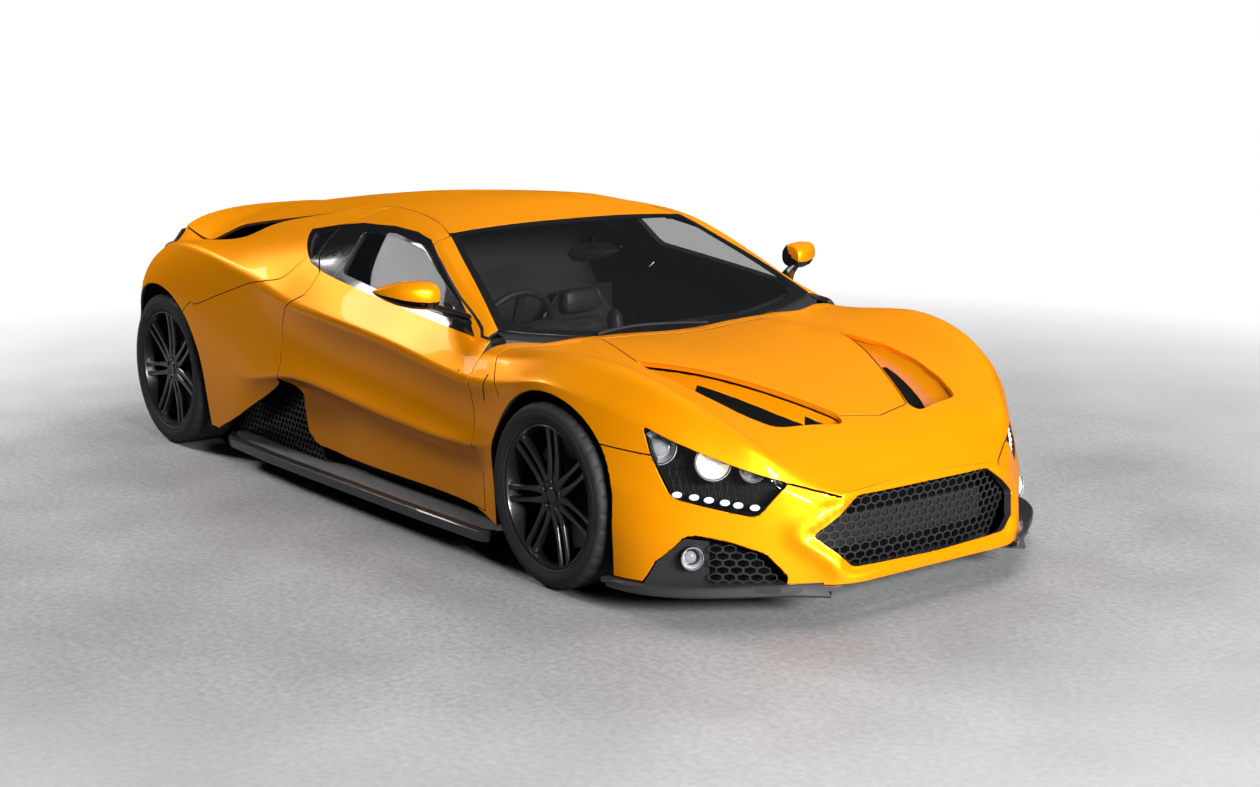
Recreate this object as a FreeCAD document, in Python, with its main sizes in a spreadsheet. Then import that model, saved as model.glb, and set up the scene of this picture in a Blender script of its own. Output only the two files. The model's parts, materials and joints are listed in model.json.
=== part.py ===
import FreeCAD, Part
import math
import os
import re
from FreeCAD import Vector

# Two-seat mid-engine coupe car. +X forward, +Y to the car's left, +Z up.
# The origin lies on the ground under the middle of the car.

doc = FreeCAD.newDocument("coupe_car")
sheet = doc.addObject("Spreadsheet::Sheet", "sizes")

named_sizes = [
    # overall plan
    ("wheelbase", 3055), ("front_overhang", 930), ("rear_overhang", 680),
    ("flank_half_width", 1000), ("shoulder_height", 1000),
    # tyres and wheels
    ("front_tyre_radius", 330), ("front_tyre_width", 255), ("front_rim_radius", 254),
    ("rear_tyre_radius", 354), ("rear_tyre_width", 335), ("rear_rim_radius", 271),
    ("front_wheel_outer", 968), ("rear_wheel_outer", 985), ("rim_inset", 12),
    ("rim_wall", 9), ("spoke_width", 15), ("spoke_depth", 26), ("spoke_gap", 30),
    ("hub_radius", 76), ("hub_depth", 46), ("axle_gap", 0.05), ("lug_radius", 11),
    ("lug_circle", 52), ("tyre_shoulder", 26), ("bead_gap", 0.3),
    # brakes and steering
    ("disc_radius", 195), ("disc_wall", 34), ("disc_offset", 62), ("caliper_reach", 58),
    ("caliper_height", 190), ("caliper_gap", 3), ("caliper_wall", 21), ("axle_radius", 30),
    ("knuckle_wall", 60), ("knuckle_height", 250), ("kingpin_radius", 18),
    ("kingpin_gap", 0.6), ("arm_wall", 26), ("wheel_gap", 6),
    # skin
    ("skin_wall", 14), ("door_wall", 58), ("glass_wall", 5), ("panel_gap", 5),
    ("front_arch_radius", 366), ("rear_arch_radius", 410), ("front_arch_height", 336),
    ("rear_arch_height", 350), ("liner_wall", 4), ("liner_step", 36), ("liner_room", 150),
    # tub and cabin
    ("floor_height", 105), ("floor_wall", 25), ("tub_half_width", 790),
    ("sill_wall", 80), ("sill_height", 300), ("bulkhead_wall", 30),
    ("front_bulkhead", 999), ("rear_bulkhead", 560), ("scuttle_height", 720),
    ("rear_bulkhead_height", 620), ("skirt_reach", 985), ("skirt_low", 36), ("skirt_wall", 14),
    ("rail_inner", 340), ("rail_wall", 70), ("rail_height", 110), ("rail_low", 190),
    ("front_rail_end", 2150), ("rear_rail_end", 2180), ("crash_beam", 60),
    ("arm_width", 60), ("arm_spread", 150),
    # cabin
    ("seat_width", 470), ("seat_cushion", 130), ("seat_length", 500), ("seat_middle", 385),
    ("seat_back", 110), ("seat_back_height", 640), ("seat_gap", 1), ("seat_front", 330),
    ("dash_gap", 0.3), ("dash_depth", 400), ("dash_height", 250), ("dash_top", 735),
    ("console_width", 210), ("console_height", 170), ("console_length", 1180),
    ("steering_radius", 178), ("steering_rim", 16), ("steering_reach", 300),
    ("steering_height", 720), ("steering_tilt", 22), ("column_radius", 22),
    # engine
    ("engine_length", 780), ("engine_width", 749.5), ("engine_height", 560), ("engine_low", 150),
    ("engine_middle", 1100),
    # outer trim
    ("splitter_wall", 16), ("splitter_low", 108.7), ("mesh_wall", 8), ("mesh_bar", 5),
    ("mesh_pitch", 44), ("mesh_rise", 27), ("grille_seat", 2195), ("duct_wall", 6),
    ("duct_depth", 75), ("mirror_reach", 1097),
    ("mirror_width", 205), ("mirror_height", 104), ("mirror_depth", 130), ("mirror_middle", 940),
    ("mirror_place", 560), ("mirror_arm", 22), ("tail_wall", 20),
    ("tail_lamp_radius", 52), ("pipe_radius", 48), ("pipe_wall", 3), ("pipe_length", 160),
    ("pipe_middle", 112), ("pipe_height", 355), ("fin_wall", 8), ("fin_height", 62),
    # lamps
    ("lens_wall", 4), ("lens_gap", 0.3), ("lamp_wall", 5), ("lamp_depth", 84),
    ("round_lamp_radius", 40), ("small_lamp_radius", 11), ("fog_lamp_radius", 38),
    ("fog_lamp_depth", 100),
    # trays and nets
    ("tray_wall", 5), ("tray_drop", 72), ("tray_tip_drop", 12), ("intake_reach", 850),
    ("heat_net_low", 500), ("heat_net_high", 820), ("heat_net_half", 430), ("slit_wall", 12),
    ("overrun", 60),
    # hinges
    ("door_hinge_place", 830), ("door_hinge_reach", 935), ("door_hinge_low", 440),
    ("door_hinge_high", 680), ("door_pin_radius", 5), ("door_pin_half", 14), ("hinge_plate", 8),
    ("hinge_post_wall", 35), ("hinge_post_length", 60), ("hinge_post_height", 700),
    ("bonnet_pin_radius", 4), ("bonnet_hinge_step", 36), ("bonnet_pin_length", 40),
    ("lid_pin_radius", 6), ("lid_hinge_step", 52.5), ("lid_hinge_height", 925), ("lid_lug", 14),
    ("lid_middle", 350), ("lid_boss", 14),
]
for row, (alias, value) in enumerate(named_sizes, start=1):
    sheet.set("A%d" % row, alias)
    sheet.set("B%d" % row, str(value))
    sheet.setAlias("B%d" % row, alias)
doc.recompute()
alias_names = [alias for alias, value in named_sizes]


def size(alias):
    return float(sheet.get(alias))


def ref(text):
    """An expression with each named size written as the sheet's cell."""
    def cell(found):
        word = found.group(0)
        return "sizes." + word if word in alias_names else word
    return re.sub(r"[a-z][a-z_]*", cell, str(text))


wheelbase = size("wheelbase")
front_axle = size("front_overhang")
half_length = (wheelbase + size("front_overhang") + size("rear_overhang")) / 2
front_axle_x = half_length - size("front_overhang")
rear_axle_x = -half_length + size("rear_overhang")
side = size("flank_half_width")
high = size("shoulder_height")
overrun = size("overrun")
gap = size("panel_gap")

# Lengthwise places run between four stations: nose, front axle, rear axle, tail.
station_shares = (2.3325, 1.4025, -1.6525, -2.3325)
station_places = (half_length, front_axle_x, rear_axle_x, -half_length)


def along(share):
    """The X of a lengthwise place."""
    pairs = list(zip(station_shares, station_places))
    for (s0, x0), (s1, x1) in zip(pairs, pairs[1:]):
        if share >= s1 or s1 == station_shares[-1]:
            return x0 + (share - s0) * (x1 - x0) / (s1 - s0)
    return x0


# Feature lines of the skin, front to back: place, half width, height.
line_shares = {
    "sill": [(2.31, .42, .125), (2.1, .71, .13), (1.9, .90, .13), (1.7, .95, .13), (1.4, .955, .14),
             (1.1, .935, .14), (.92, .90, .165), (.44, .865, .172), (-.04, .865, .172),
             (-.52, .875, .185), (-.8, .94, .16), (-1.2, .955, .15), (-1.6, .96, .16),
             (-1.9, .93, .18), (-2.15, .84, .20), (-2.3122, .78, .22)],
    "recess": [(2.31, .42, .16), (2.1, .69, .22), (1.9, .89, .27), (1.7, .965, .33),
               (1.4, .975, .40), (1.1, .95, .35), (.92, .90, .35), (.44, .87, .375),
               (-.04, .87, .393), (-.52, .89, .414), (-.8, .96, .35), (-1.2, .98, .35),
               (-1.6, .99, .35), (-1.9, .955, .33), (-2.15, .86, .32), (-2.3122, .80, .30)],
    "overhang": [(2.305, .41, .22), (2.1, .67, .30), (1.9, .865, .38), (1.7, .96, .47),
                 (1.4, .985, .60), (1.1, .955, .48), (.92, .95, .433), (.55, .97, .432),
                 (.07, .975, .465), (-.22, .98, .487), (-.455, .985, .487), (-.7, .985, .45),
                 (-.95, .985, .45), (-1.2, .995, .52), (-1.6, 1.015, .64), (-1.9, .985, .58),
                 (-2.15, .87, .50), (-2.3122, .81, .45)],
    "waist": [(2.29, .40, .29), (2.1, .65, .39), (1.9, .835, .48), (1.7, .93, .58), (1.4, .97, .69),
              (1.1, .94, .60), (.92, .91, .54), (.5, .90, .57), (0, .90, .61), (-.45, .93, .66),
              (-.8, .955, .70), (-1.1, .985, .76), (-1.3, 1.005, .80), (-1.6, 1.0205, .83),
              (-1.9, .975, .80), (-2.15, .84, .73), (-2.3122, .78, .68)],
    "shoulder": [(2.275, .385, .35), (2.2, .50, .41), (2.1, .625, .475), (2.0, .715, .54),
                 (1.9, .79, .60), (1.75, .87, .665), (1.6, .92, .705), (1.4, .95, .735),
                 (1.2, .95, .705), (.94, .95, .665), (.6, .965, .702), (.3, .97, .74),
                 (0, .975, .765), (-.3, .97, .785), (-.5, .96, .805), (-.72, .95, .85),
                 (-1.0, .945, .905), (-1.26, .945, .95), (-1.5, .94, .962), (-1.75, .895, .925),
                 (-1.95, .84, .87), (-2.15, .78, .81), (-2.3, .73, .765)],
    "crest": [(2.262, .376, .415), (2.17, .50, .47), (2.1, .58, .555), (2.0, .645, .635),
              (1.9, .70, .70), (1.7, .76, .79), (1.45, .80, .83), (1.2, .83, .815), (.95, .86, .79),
              (.52, .87, .834), (.05, .87, .882), (-.33, .85, .934), (-.6, .83, .975),
              (-1.0, .82, .98), (-1.4, .81, .965), (-1.8, .77, .94), (-2.05, .70, .905), (-2.29, .60, .875)],
    "cant": [(.86, .82, .812), (.8, .79, .845), (.6, .76, .935), (.4, .72, 1.035), (.24, .69, 1.095),
             (0, .68, 1.13), (-.3, .68, 1.12), (-.6, .70, 1.075), (-.8, .695, 1.055),
             (-1.0, .69, 1.03), (-1.3, .69, .985), (-1.6, .67, .93), (-1.9, .645, .893),
             (-2.1, .615, .897), (-2.27, .575, .912)],
    "edge": [(.225, .584, 1.118), (.05, .53, 1.15), (-.15, .50, 1.17), (-.25, .49, 1.176),
             (-.5, .50, 1.165), (-.7, .55, 1.135), (-1.1, .58, 1.078), (-1.4, .60, 1.037),
             (-1.6, .602, 1.0), (-1.7, .601, .971), (-1.8, .60, .941), (-1.9, .598, .915),
             (-2.0, .59, .912), (-2.1, .58, .924), (-2.28, .555, .948)],
    "rail": [(.85, .775, .826), (.6, .70, .955), (.4, .64, 1.045), (.225, .584, 1.118),
             (.05, .53, 1.15), (-.15, .50, 1.17), (-.25, .49, 1.176), (-.5, .50, 1.165),
             (-.7, .55, 1.135), (-1.0, .578, 1.087), (-1.2, .592, 1.05), (-1.4, .60, .992),
             (-1.5, .60, .958), (-1.6, .598, .934), (-1.8, .596, .908), (-2.0, .591, .905),
             (-2.1, .58, .919), (-2.28, .555, .944)],
    "valley": [(2.262, .33, .418), (2.1, .50, .53), (1.9, .54, .62), (1.7, .56, .675),
               (1.45, .57, .715), (1.2, .57, .742), (.92, .57, .775)],
    "ridge": [(2.268, .18, .43), (2.1, .32, .57), (1.9, .34, .655), (1.7, .35, .71),
              (1.4, .36, .762), (1.2, .36, .778), (.96, .34, .78)],
    "bonnet_line": [(2.274, 0, .431), (2.18, 0, .525), (2.05, 0, .60), (1.85, 0, .665), (1.6, 0, .715),
                    (1.35, 0, .745), (1.15, 0, .757), (1.0, 0, .765)],
    "screen_mid": [(1.0, .40, .765), (.80, .385, .866), (.55, .36, .992), (.24, .30, 1.14)],
    "screen_line": [(1.0, 0, .765), (.80, 0, .86), (.55, 0, .985), (.235, 0, 1.139)],
    "roof_line": [(.235, 0, 1.139), (0, 0, 1.172), (-.25, 0, 1.198), (-.5, 0, 1.195),
                  (-.9, 0, 1.175), (-1.3, 0, 1.135), (-1.7, 0, 1.085), (-2.05, 0, 1.045),
                  (-2.30, 0, 1.03)],
    "roof_mid": [(.225, .30, 1.14), (-.15, .28, 1.192), (-.5, .29, 1.198), (-.9, .32, 1.175),
                 (-1.3, .34, 1.135), (-1.7, .37, 1.085), (-2.05, .40, 1.045), (-2.29, .40, 1.03)],
}


def natural_spline(xs, ys):
    """Second derivatives of the natural cubic spline through points with rising xs."""
    count = len(xs)
    curve = [0.0] * count
    work = [0.0] * count
    for i in range(1, count - 1):
        ratio = (xs[i] - xs[i - 1]) / (xs[i + 1] - xs[i - 1])
        pivot = ratio * curve[i - 1] + 2
        curve[i] = (ratio - 1) / pivot
        bend = (ys[i + 1] - ys[i]) / (xs[i + 1] - xs[i]) - (ys[i] - ys[i - 1]) / (xs[i] - xs[i - 1])
        work[i] = (6 * bend / (xs[i + 1] - xs[i - 1]) - ratio * work[i - 1]) / pivot
    for i in range(count - 2, -1, -1):
        curve[i] = curve[i] * curve[i + 1] + work[i]
    return curve


class Line:
    """One feature line, evaluated at any lengthwise place between its ends."""

    def __init__(self, shares):
        rows = sorted(shares)
        self.xs = [row[0] for row in rows]
        self.values = [[row[1] * side for row in rows], [row[2] * high for row in rows]]
        self.curves = [natural_spline(self.xs, values) for values in self.values]

    def at(self, place):
        xs = self.xs
        place = min(max(place, xs[0]), xs[-1])
        i = 0
        while i < len(xs) - 2 and place > xs[i + 1]:
            i += 1
        step = xs[i + 1] - xs[i]
        a = (xs[i + 1] - place) / step
        b = (place - xs[i]) / step
        result = []
        for values, curve in zip(self.values, self.curves):
            flex = ((a ** 3 - a) * curve[i] + (b ** 3 - b) * curve[i + 1]) * step * step / 6
            result.append(a * values[i] + b * values[i + 1] + flex)
        return Vector(along(place), result[0], result[1])


lines = {name: Line(shares) for name, shares in line_shares.items()}


def strip_points(names, start, end, count):
    """Points of each named line at evenly spread places from start to end."""
    grid = []
    for name in names:
        line = lines[name]
        first = min(start, line.xs[-1])
        last = max(end, line.xs[0])
        grid.append([line.at(first + (last - first) * i / (count - 1)) for i in range(count)])
    return grid


def inward(grid, depth):
    """The grid moved square to its cross sections by depth, towards the inside."""
    count = len(grid[0])
    moved = [[None] * count for row in grid]
    for j in range(count):
        section = [row[j] for row in grid]
        normals = []
        for a, b in zip(section, section[1:]):
            dy = b.y - a.y
            dz = b.z - a.z
            length = math.hypot(dy, dz) or 1.0
            normals.append((-dz / length, dy / length))
        for i, point in enumerate(section):
            sunk = depth[i] if isinstance(depth, list) else depth
            near = normals[max(i - 1, 0)]
            far = normals[min(i, len(normals) - 1)]
            if i == len(section) - 1 and abs(point.y) < 1e-6:
                near = far = (0.0, -1.0)
            ny = near[0] + far[0]
            nz = near[1] + far[1]
            length = math.hypot(ny, nz)
            ny, nz = ny / length, nz / length
            miter = sunk / max(ny * near[0] + nz * near[1], 0.5)
            moved[i][j] = Vector(point.x, point.y + ny * miter, point.z + nz * miter)
    return moved


def row_poles(points):
    """Poles of the cubic through points at even steps; every row shares its knots."""
    curve = Part.BSplineCurve()
    steps = [i / (len(points) - 1) for i in range(len(points))]
    curve.interpolate(Points=points, PeriodicFlag=False, Parameters=steps)
    return curve.getPoles(), curve.getMultiplicities(), curve.getKnots()


def patch(rows, degree):
    """A face of cubic rows, straight or curved (degree) from row to row."""
    fitted = [row_poles(row) for row in rows]
    poles = [item[0] for item in fitted]
    surface = Part.BSplineSurface()
    span = len(rows) - degree
    knots = [i / span for i in range(span + 1)]
    mults = [degree + 1] + [1] * (span - 1) + [degree + 1]
    surface.buildFromPolesMultsKnots(poles, mults, fitted[0][1], knots, fitted[0][2],
                                     False, False, degree, 3)
    return surface.toShape()


def flat_patch(first, second):
    """A face between two matching rows of section points, straight across."""
    surface = Part.BSplineSurface()
    degree = len(first) - 1
    surface.buildFromPolesMultsKnots([first, second], [2, 2], [degree + 1] * 2, [0, 1], [0, 1],
                                     False, False, 1, degree)
    return surface.toShape()


def closed(faces, what):
    """One solid from faces that meet edge to edge."""
    sewn = Part.makeShell(faces)
    sewn.sewShape()
    shells = sewn.Shells
    if len(shells) != 1 or not shells[0].isClosed():
        raise RuntimeError("open skin: " + what)
    solid = Part.makeSolid(shells[0])
    if solid.Volume < 0:
        solid.reverse()
    return solid


def skin(bands, start, end, count, depth, what, sink=0.0):
    """A skin of even depth over bands of feature lines.

    Each band is (lower line, [control lines], upper line); bands share their outer lines."""
    names = [bands[0][0]]
    for band in bands:
        names.extend(band[1])
        names.append(band[2])
    outer = strip_points(names, start, end, count)
    if sink:
        outer = inward(outer, sink)
    inner = inward(outer, depth)
    faces = []
    spot = 0
    for band in bands:
        degree = len(band[1]) + 1
        for grid in (outer, inner):
            faces.append(patch(grid[spot:spot + degree + 1], degree))
        ends = [[row_poles(row)[0][k] for row in outer[spot:spot + degree + 1]] for k in (0, -1)]
        backs = [[row_poles(row)[0][k] for row in inner[spot:spot + degree + 1]] for k in (0, -1)]
        for first, second in zip(ends, backs):
            faces.append(flat_patch(first, second))
        spot += degree
    faces.append(patch([outer[0], inner[0]], 1))
    faces.append(patch([outer[-1], inner[-1]], 1))
    return closed(faces, what)


def side_prism(outline, low, far):
    """A prism along Y of a side-view outline in shares, from low to far."""
    points = [Vector(along(x), low, z * high) for x, z in outline]
    face = Part.Face(Part.makePolygon(points + points[:1]))
    return face.extrude(Vector(0, far - low, 0))


def top_prism(outline, low, far):
    """A prism along Z of a plan outline in shares, from low to far."""
    points = [Vector(along(x), y * side, low) for x, y in outline]
    face = Part.Face(Part.makePolygon(points + points[:1]))
    return face.extrude(Vector(0, 0, far - low))


def wheel_space(x, height, radius, low, far):
    """The round space over a wheel, open downwards."""
    tube = Part.makeCylinder(radius, far - low, Vector(x, low, height), Vector(0, 1, 0))
    leg = Part.makeBox(radius * 2, far - low, height + overrun, Vector(x - radius, low, -overrun))
    return tube.fuse(leg)


def flipped(shape):
    return shape.mirror(Vector(0, 0, 0), Vector(0, 1, 0))


def both(shape):
    return Part.makeCompound([shape, flipped(shape)])


def joined(shape):
    """A half shape and its mirror as one piece across the middle."""
    return shape.fuse(flipped(shape)).removeSplitter()


pieces = {}


def keep(name, shape):
    """A named piece of the car whose outline comes from the feature lines."""
    solids = [solid if solid.Volume > 0 else solid.reversed() for solid in shape.Solids]
    if not solids:
        raise RuntimeError("nothing left of " + name)
    obj = doc.addObject("Part::Feature", name)
    obj.Label = name
    obj.Shape = solids[0] if len(solids) == 1 else Part.makeCompound(solids)
    pieces[name] = obj
    return obj


# Side-view outlines of the panels, in shares: place, height.
door_shares = [(.93, .178), (.915, .42), (.90, .60), (.905, .80), (.84, .805), (.80, .828),
               (.60, .915), (.40, 1.015), (.26, 1.078), (.19, 1.26), (-.60, 1.26), (-.60, 1.13),
               (-.47, 1.09), (-.44, .99), (-.45, .81), (-.50, .72), (-.47, .60), (-.455, .50),
               (-.52, .414), (-.36, .178)]
window_shares = [(.77, .835), (.60, .905), (.40, 1.00), (.24, 1.075), (.0, 1.112), (-.26, 1.105),
                 (-.22, .935), (.05, .905), (.52, .857)]
quarter_window_shares = [(-.50, 1.083), (-.645, 1.056), (-.575, .985), (-.475, .96)]
quarter_shares = [(-.30, 1.26), (-.30, 1.135), (-.482, 1.09), (-.452, .99), (-.457, .81),
                  (-.507, .72), (-.477, .60), (-.462, .505), (-.56, .47), (-.68, .39), (-.82, .25),
                  (-.93, .13), (-1.25, .05), (-2.6, .05), (-2.6, 1.4)]
rail_cut_shares = [(-.385, .40), (-.385, .49), (-.52, .74), (.40, .74), (.40, .40)]
pillar_shares = [(1.1, .81), (.905, .80), (.84, .805), (.80, .828), (.60, .915), (.40, 1.015),
                 (.26, 1.078), (.19, 1.26), (.60, 1.26), (1.1, 1.0)]
bumper_shares = [(1.50, .575), (1.642, .578), (1.80, .552), (1.86, .50), (2.12, .46), (2.25, .412),
                 (2.45, .39), (2.45, -.05), (1.50, -.05)]
lamp_shares = [(1.775, .635), (1.833, .544), (1.922, .402), (2.097, .345), (2.143, .452)]
bonnet_shares = [(1.06, -.01), (1.04, .30), (1.02, .42), (1.33, .50), (2.02, .16), (2.055, -.01)]
vent_shares = [(1.34, .505), (2.03, .165), (2.06, .20), (1.955, .44), (1.90, .455)]
grille_shares = [(-.01, .402), (.310, .402), (.470, .268), (.336, .176), (-.01, .168)]
fog_shares = [(.50, .135), (.575, .21), (.665, .262), (.79, .30), (.875, .14)]

side_bands = [("sill", [], "recess"), ("recess", [], "overhang"),
              ("overhang", ["waist"], "shoulder"), ("shoulder", [], "crest")]
frame_bands = [("crest", [], "cant"), ("cant", [], "rail")]
front_bands = side_bands + [("crest", [], "valley"), ("valley", [], "ridge"),
                            ("ridge", [], "bonnet_line")]
roof_bands = [("edge", ["roof_mid"], "roof_line")]

skin_wall = size("skin_wall")
wide = side + overrun
far_side = side * 2
middle = -overrun


def grown(outline, amount):
    """An outline pushed out on all sides by amount, in its own plane."""
    points = [Vector(x, y, 0) for x, y in outline]
    face = Part.Face(Part.makePolygon(points + points[:1]))
    wire = face.makeOffset2D(amount, 2).OuterWire
    return [(p.X, p.Y) for p in wire.OrderedVertexes]


def middle_height(shape, x, y):
    """The height of the middle of a skin above a point in plan."""
    line = Part.makeLine(Vector(x, y, 0), Vector(x, y, high * 2))
    inside = shape.common(line)
    return (inside.BoundBox.ZMin + inside.BoundBox.ZMax) / 2


# Front end: both wings and the scuttle round the bonnet, in one moulding.
front_skin = skin(front_bands, 2.3, .85, 25, skin_wall, "front skin")
front_arch = wheel_space(front_axle_x, size("front_arch_height"), size("front_arch_radius"),
                         side / 2, wide)
bumper_space = side_prism(bumper_shares, middle, wide)
lamp_space = side_prism(lamp_shares, side / 3, wide)
bonnet_space = top_prism(grown(bonnet_shares, gap / high), high / 2, high)
bonnet_rear = bonnet_space.copy()
bonnet_rear.translate(Vector(-gap * 1.6, 0, 0))
bonnet_space = bonnet_space.fuse(bonnet_rear)
bonnet_block = top_prism(bonnet_shares, high / 2, high)
vent_space = top_prism(vent_shares, high / 2, high)
door_space = side_prism(grown(door_shares, gap / high), side / 3, wide)
door_block = side_prism(door_shares, side / 3, wide)
pillar_block = side_prism(pillar_shares, side / 3, wide)
behind_door = top_prism([(.905, -.1), (.905, 1.2), (0, 1.2), (0, -.1)], -overrun, high * 2)
slit_shares = [(.978, .60), (.990, .60), (1.007, .70), (.995, .70)]
slit_space = side_prism(slit_shares, side * .8, wide)
wing_half = front_skin.cut(bumper_space).cut(front_arch).cut(lamp_space).cut(slit_space)
wing_half = wing_half.cut(bonnet_space).cut(vent_space).cut(door_space).cut(behind_door)

# The bonnet turns on two pins at its rear edge, held by the scuttle part of the moulding.
bonnet_pin_x = size("front_bulkhead") + size("bonnet_hinge_step")
bonnet_pin_y = size("rail_inner") + size("rail_wall") + gap * 2
bonnet_pin_z = middle_height(front_skin, bonnet_pin_x, bonnet_pin_y)
pin_length = size("bonnet_pin_length")


def bonnet_bar(radius, length):
    low_end = Vector(bonnet_pin_x, bonnet_pin_y - length / 2, bonnet_pin_z)
    return Part.makeCylinder(radius, length, low_end, Vector(0, 1, 0))


clam_half = wing_half.Solids[0].fuse(bonnet_bar(size("bonnet_pin_radius"), pin_length))
clam = joined(clam_half)

bonnet_half = front_skin.common(bonnet_block).cut(vent_space)
bonnet_half = bonnet_half.cut(bonnet_bar(size("bonnet_pin_radius") + size("axle_gap"),
                                         pin_length + gap))
keep("bonnet", joined(bonnet_half.Solids[0]))

# Trays under the two openings beside the bonnet; they slope down to the front.
tray_wall = size("tray_wall")
tip_x, tip_y = vent_shares[0]
tray_tip = middle_height(front_skin, along(tip_x), tip_y * side) - size("tray_tip_drop")
lip_x, lip_y = vent_shares[2]
tray_front = middle_height(front_skin, along(lip_x), lip_y * side) - size("tray_drop")
tray_slope = [Vector(along(tip_x), -overrun, tray_tip), Vector(along(lip_x), -overrun, tray_front)]
tray_run = tray_slope[1] - tray_slope[0]
tray_slope = [tray_slope[0] - tray_run * .2, tray_slope[1] + tray_run * .2]
sky = Vector(0, 0, high)
tray_line = [tray_slope[0], tray_slope[1], tray_slope[1] + sky, tray_slope[0] + sky]
above_tray = Part.Face(Part.makePolygon(tray_line + tray_line[:1])).extrude(Vector(0, side, 0))
above_base = above_tray.copy()
above_base.translate(Vector(0, 0, -tray_wall))
tray = top_prism(grown(vent_shares, tray_wall / high), -overrun, high).common(above_base)
tray = tray.cut(top_prism(vent_shares, -overrun, high).common(above_tray))
low_skin = front_skin.copy()
low_skin.translate(Vector(0, 0, -gap * 1.4))
tray = tray.cut([front_skin, low_skin.common(bonnet_space)])
tray = min(tray.Solids, key=lambda solid: solid.BoundBox.ZMin)
keep("front_clam", Part.makeCompound([clam] + both(tray).Solids))

# Front bumper: the corners with the nose face between them.
grille_points = [Vector(0, y * side, z * high) for y, z in grille_shares]
grille_face = Part.Face(Part.makePolygon(grille_points + grille_points[:1]))
grille_space = grille_face.copy()
grille_space.translate(Vector(along(2.05), 0, 0))
grille_space = grille_space.extrude(Vector(half_length, 0, 0))
fog_points = [Vector(along(1.7), y * side, z * high) for y, z in fog_shares]
fog_space = Part.Face(Part.makePolygon(fog_points + fog_points[:1])).extrude(Vector(side, 0, 0))
duct_wall = size("duct_wall")
ring_points = [Vector(fog_points[0].x, y, z)
               for y, z in grown([(p.y, p.z) for p in fog_points], duct_wall)]
fog_duct = Part.Face(Part.makePolygon(ring_points + ring_points[:1])).extrude(Vector(side, 0, 0))
deep_skin = skin(side_bands, 2.3, 1.55, 13, size("duct_depth"), "deep skin")
lined_wheel = wheel_space(front_axle_x, size("front_arch_height"),
                          size("front_arch_radius") + size("liner_step") + gap, side / 2, wide)
fog_duct = fog_duct.cut(fog_space).common(deep_skin).cut(lined_wheel)
corner = front_skin.common(bumper_space).cut(front_arch).cut(lamp_space)
nose_shares = [(2.262, .415), (2.285, .30), (2.31, .20), (2.3325, .13), (2.31, .105), (2.20, .11),
               (2.20, .14), (2.23, .18), (2.21, .38), (2.10, .42)]
nose = side_prism([(x, z) for x, z in nose_shares], middle, side * .42)
corner = corner.fuse([nose.common(bumper_space), fog_duct]).cut(grille_space).cut(fog_space)
corner = corner.cut(Part.makeBox(half_length * 3, side, high * 2, Vector(-half_length, -side, 0)))
keep("front_bumper", joined(corner))

def edge_prism(name, start, end, extra, low):
    """A prism along Z from the middle out to a feature line's plan, widened by extra."""
    steps = 12
    places = [start + (end - start) * i / steps for i in range(steps + 1)]
    rim = [lines[name].at(place) for place in places]
    points = [Vector(p.x, p.y + extra, low) for p in rim]
    points += [Vector(rim[-1].x, -overrun, low), Vector(rim[0].x, -overrun, low)]
    return Part.Face(Part.makePolygon(points + points[:1])).extrude(Vector(0, 0, high * 2 - low))


# Doors: a deep lower part with its crease and recess, and the window frame above.
rail_level = high * 1.09
door_depths = [size("door_wall")] * 5 + [skin_wall * 2.5, skin_wall * 1.5, skin_wall * 1.5]
door_skin = skin(side_bands + frame_bands, .93, -.75, 21, door_depths, "door")
window_space = side_prism(window_shares, side / 3, wide)
rail_box = Part.makeBox(half_length * 2, wide, high, Vector(-half_length, 0, rail_level))
rail_cut = top_prism(rail_cut_shares, rail_level - overrun, high * 2)
rail_keep = top_prism(grown(rail_cut_shares, gap * 1.6 / high), rail_level, high * 2)
door = door_skin.common(door_block).cut(rail_box.cut(rail_cut)).cut(window_space)
door = door.cut(edge_prism("rail", .32, -.60, gap, rail_level - overrun))
hinge_x = size("door_hinge_place")
hinge_y = size("door_hinge_reach")
hinge_levels = (size("door_hinge_low"), size("door_hinge_high"))
plate = size("hinge_plate")
door_pin = size("door_pin_radius")
door_eye = door_pin + gap * .6


def upright_rod(radius, x, y, middle_z, half):
    return Part.makeCylinder(radius, half * 2, Vector(x, y, middle_z - half))


for level in hinge_levels:
    pocket_half = plate / 2 + gap * .6
    pocket = upright_rod(door_eye + gap * .6, hinge_x, hinge_y, level, pocket_half)
    reach_in = hinge_y - side * .75
    room = Part.makeBox(hinge_x, reach_in + door_eye, pocket_half * 2,
                        Vector(hinge_x - door_eye - gap * .4, side * .75, level - pocket_half))
    bore = upright_rod(door_pin + size("axle_gap"), hinge_x, hinge_y, level,
                       size("door_pin_half") + gap / 5)
    door = door.cut([pocket, room, bore])
door = max(door.Solids, key=lambda solid: solid.Volume)
keep("door_left", door)
keep("door_right", flipped(door))

pillar_skin = skin(frame_bands, .86, -.30, 13, skin_wall * 1.5, "pillar")
pillar = pillar_skin.common(pillar_block).cut(door_space)

roof_skin = skin(roof_bands, .235, -2.3122, 25, skin_wall, "roof")
ahead = top_prism([(1, -.1), (1, 1), (-.62, 1), (-.62, -.1)], 0, high * 2)
roof_middle = joined(roof_skin.common(ahead).Solids[0])
roof_pieces = [roof_middle] + both(pillar).Solids
keep("roof", Part.makeCompound(roof_pieces))

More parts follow.
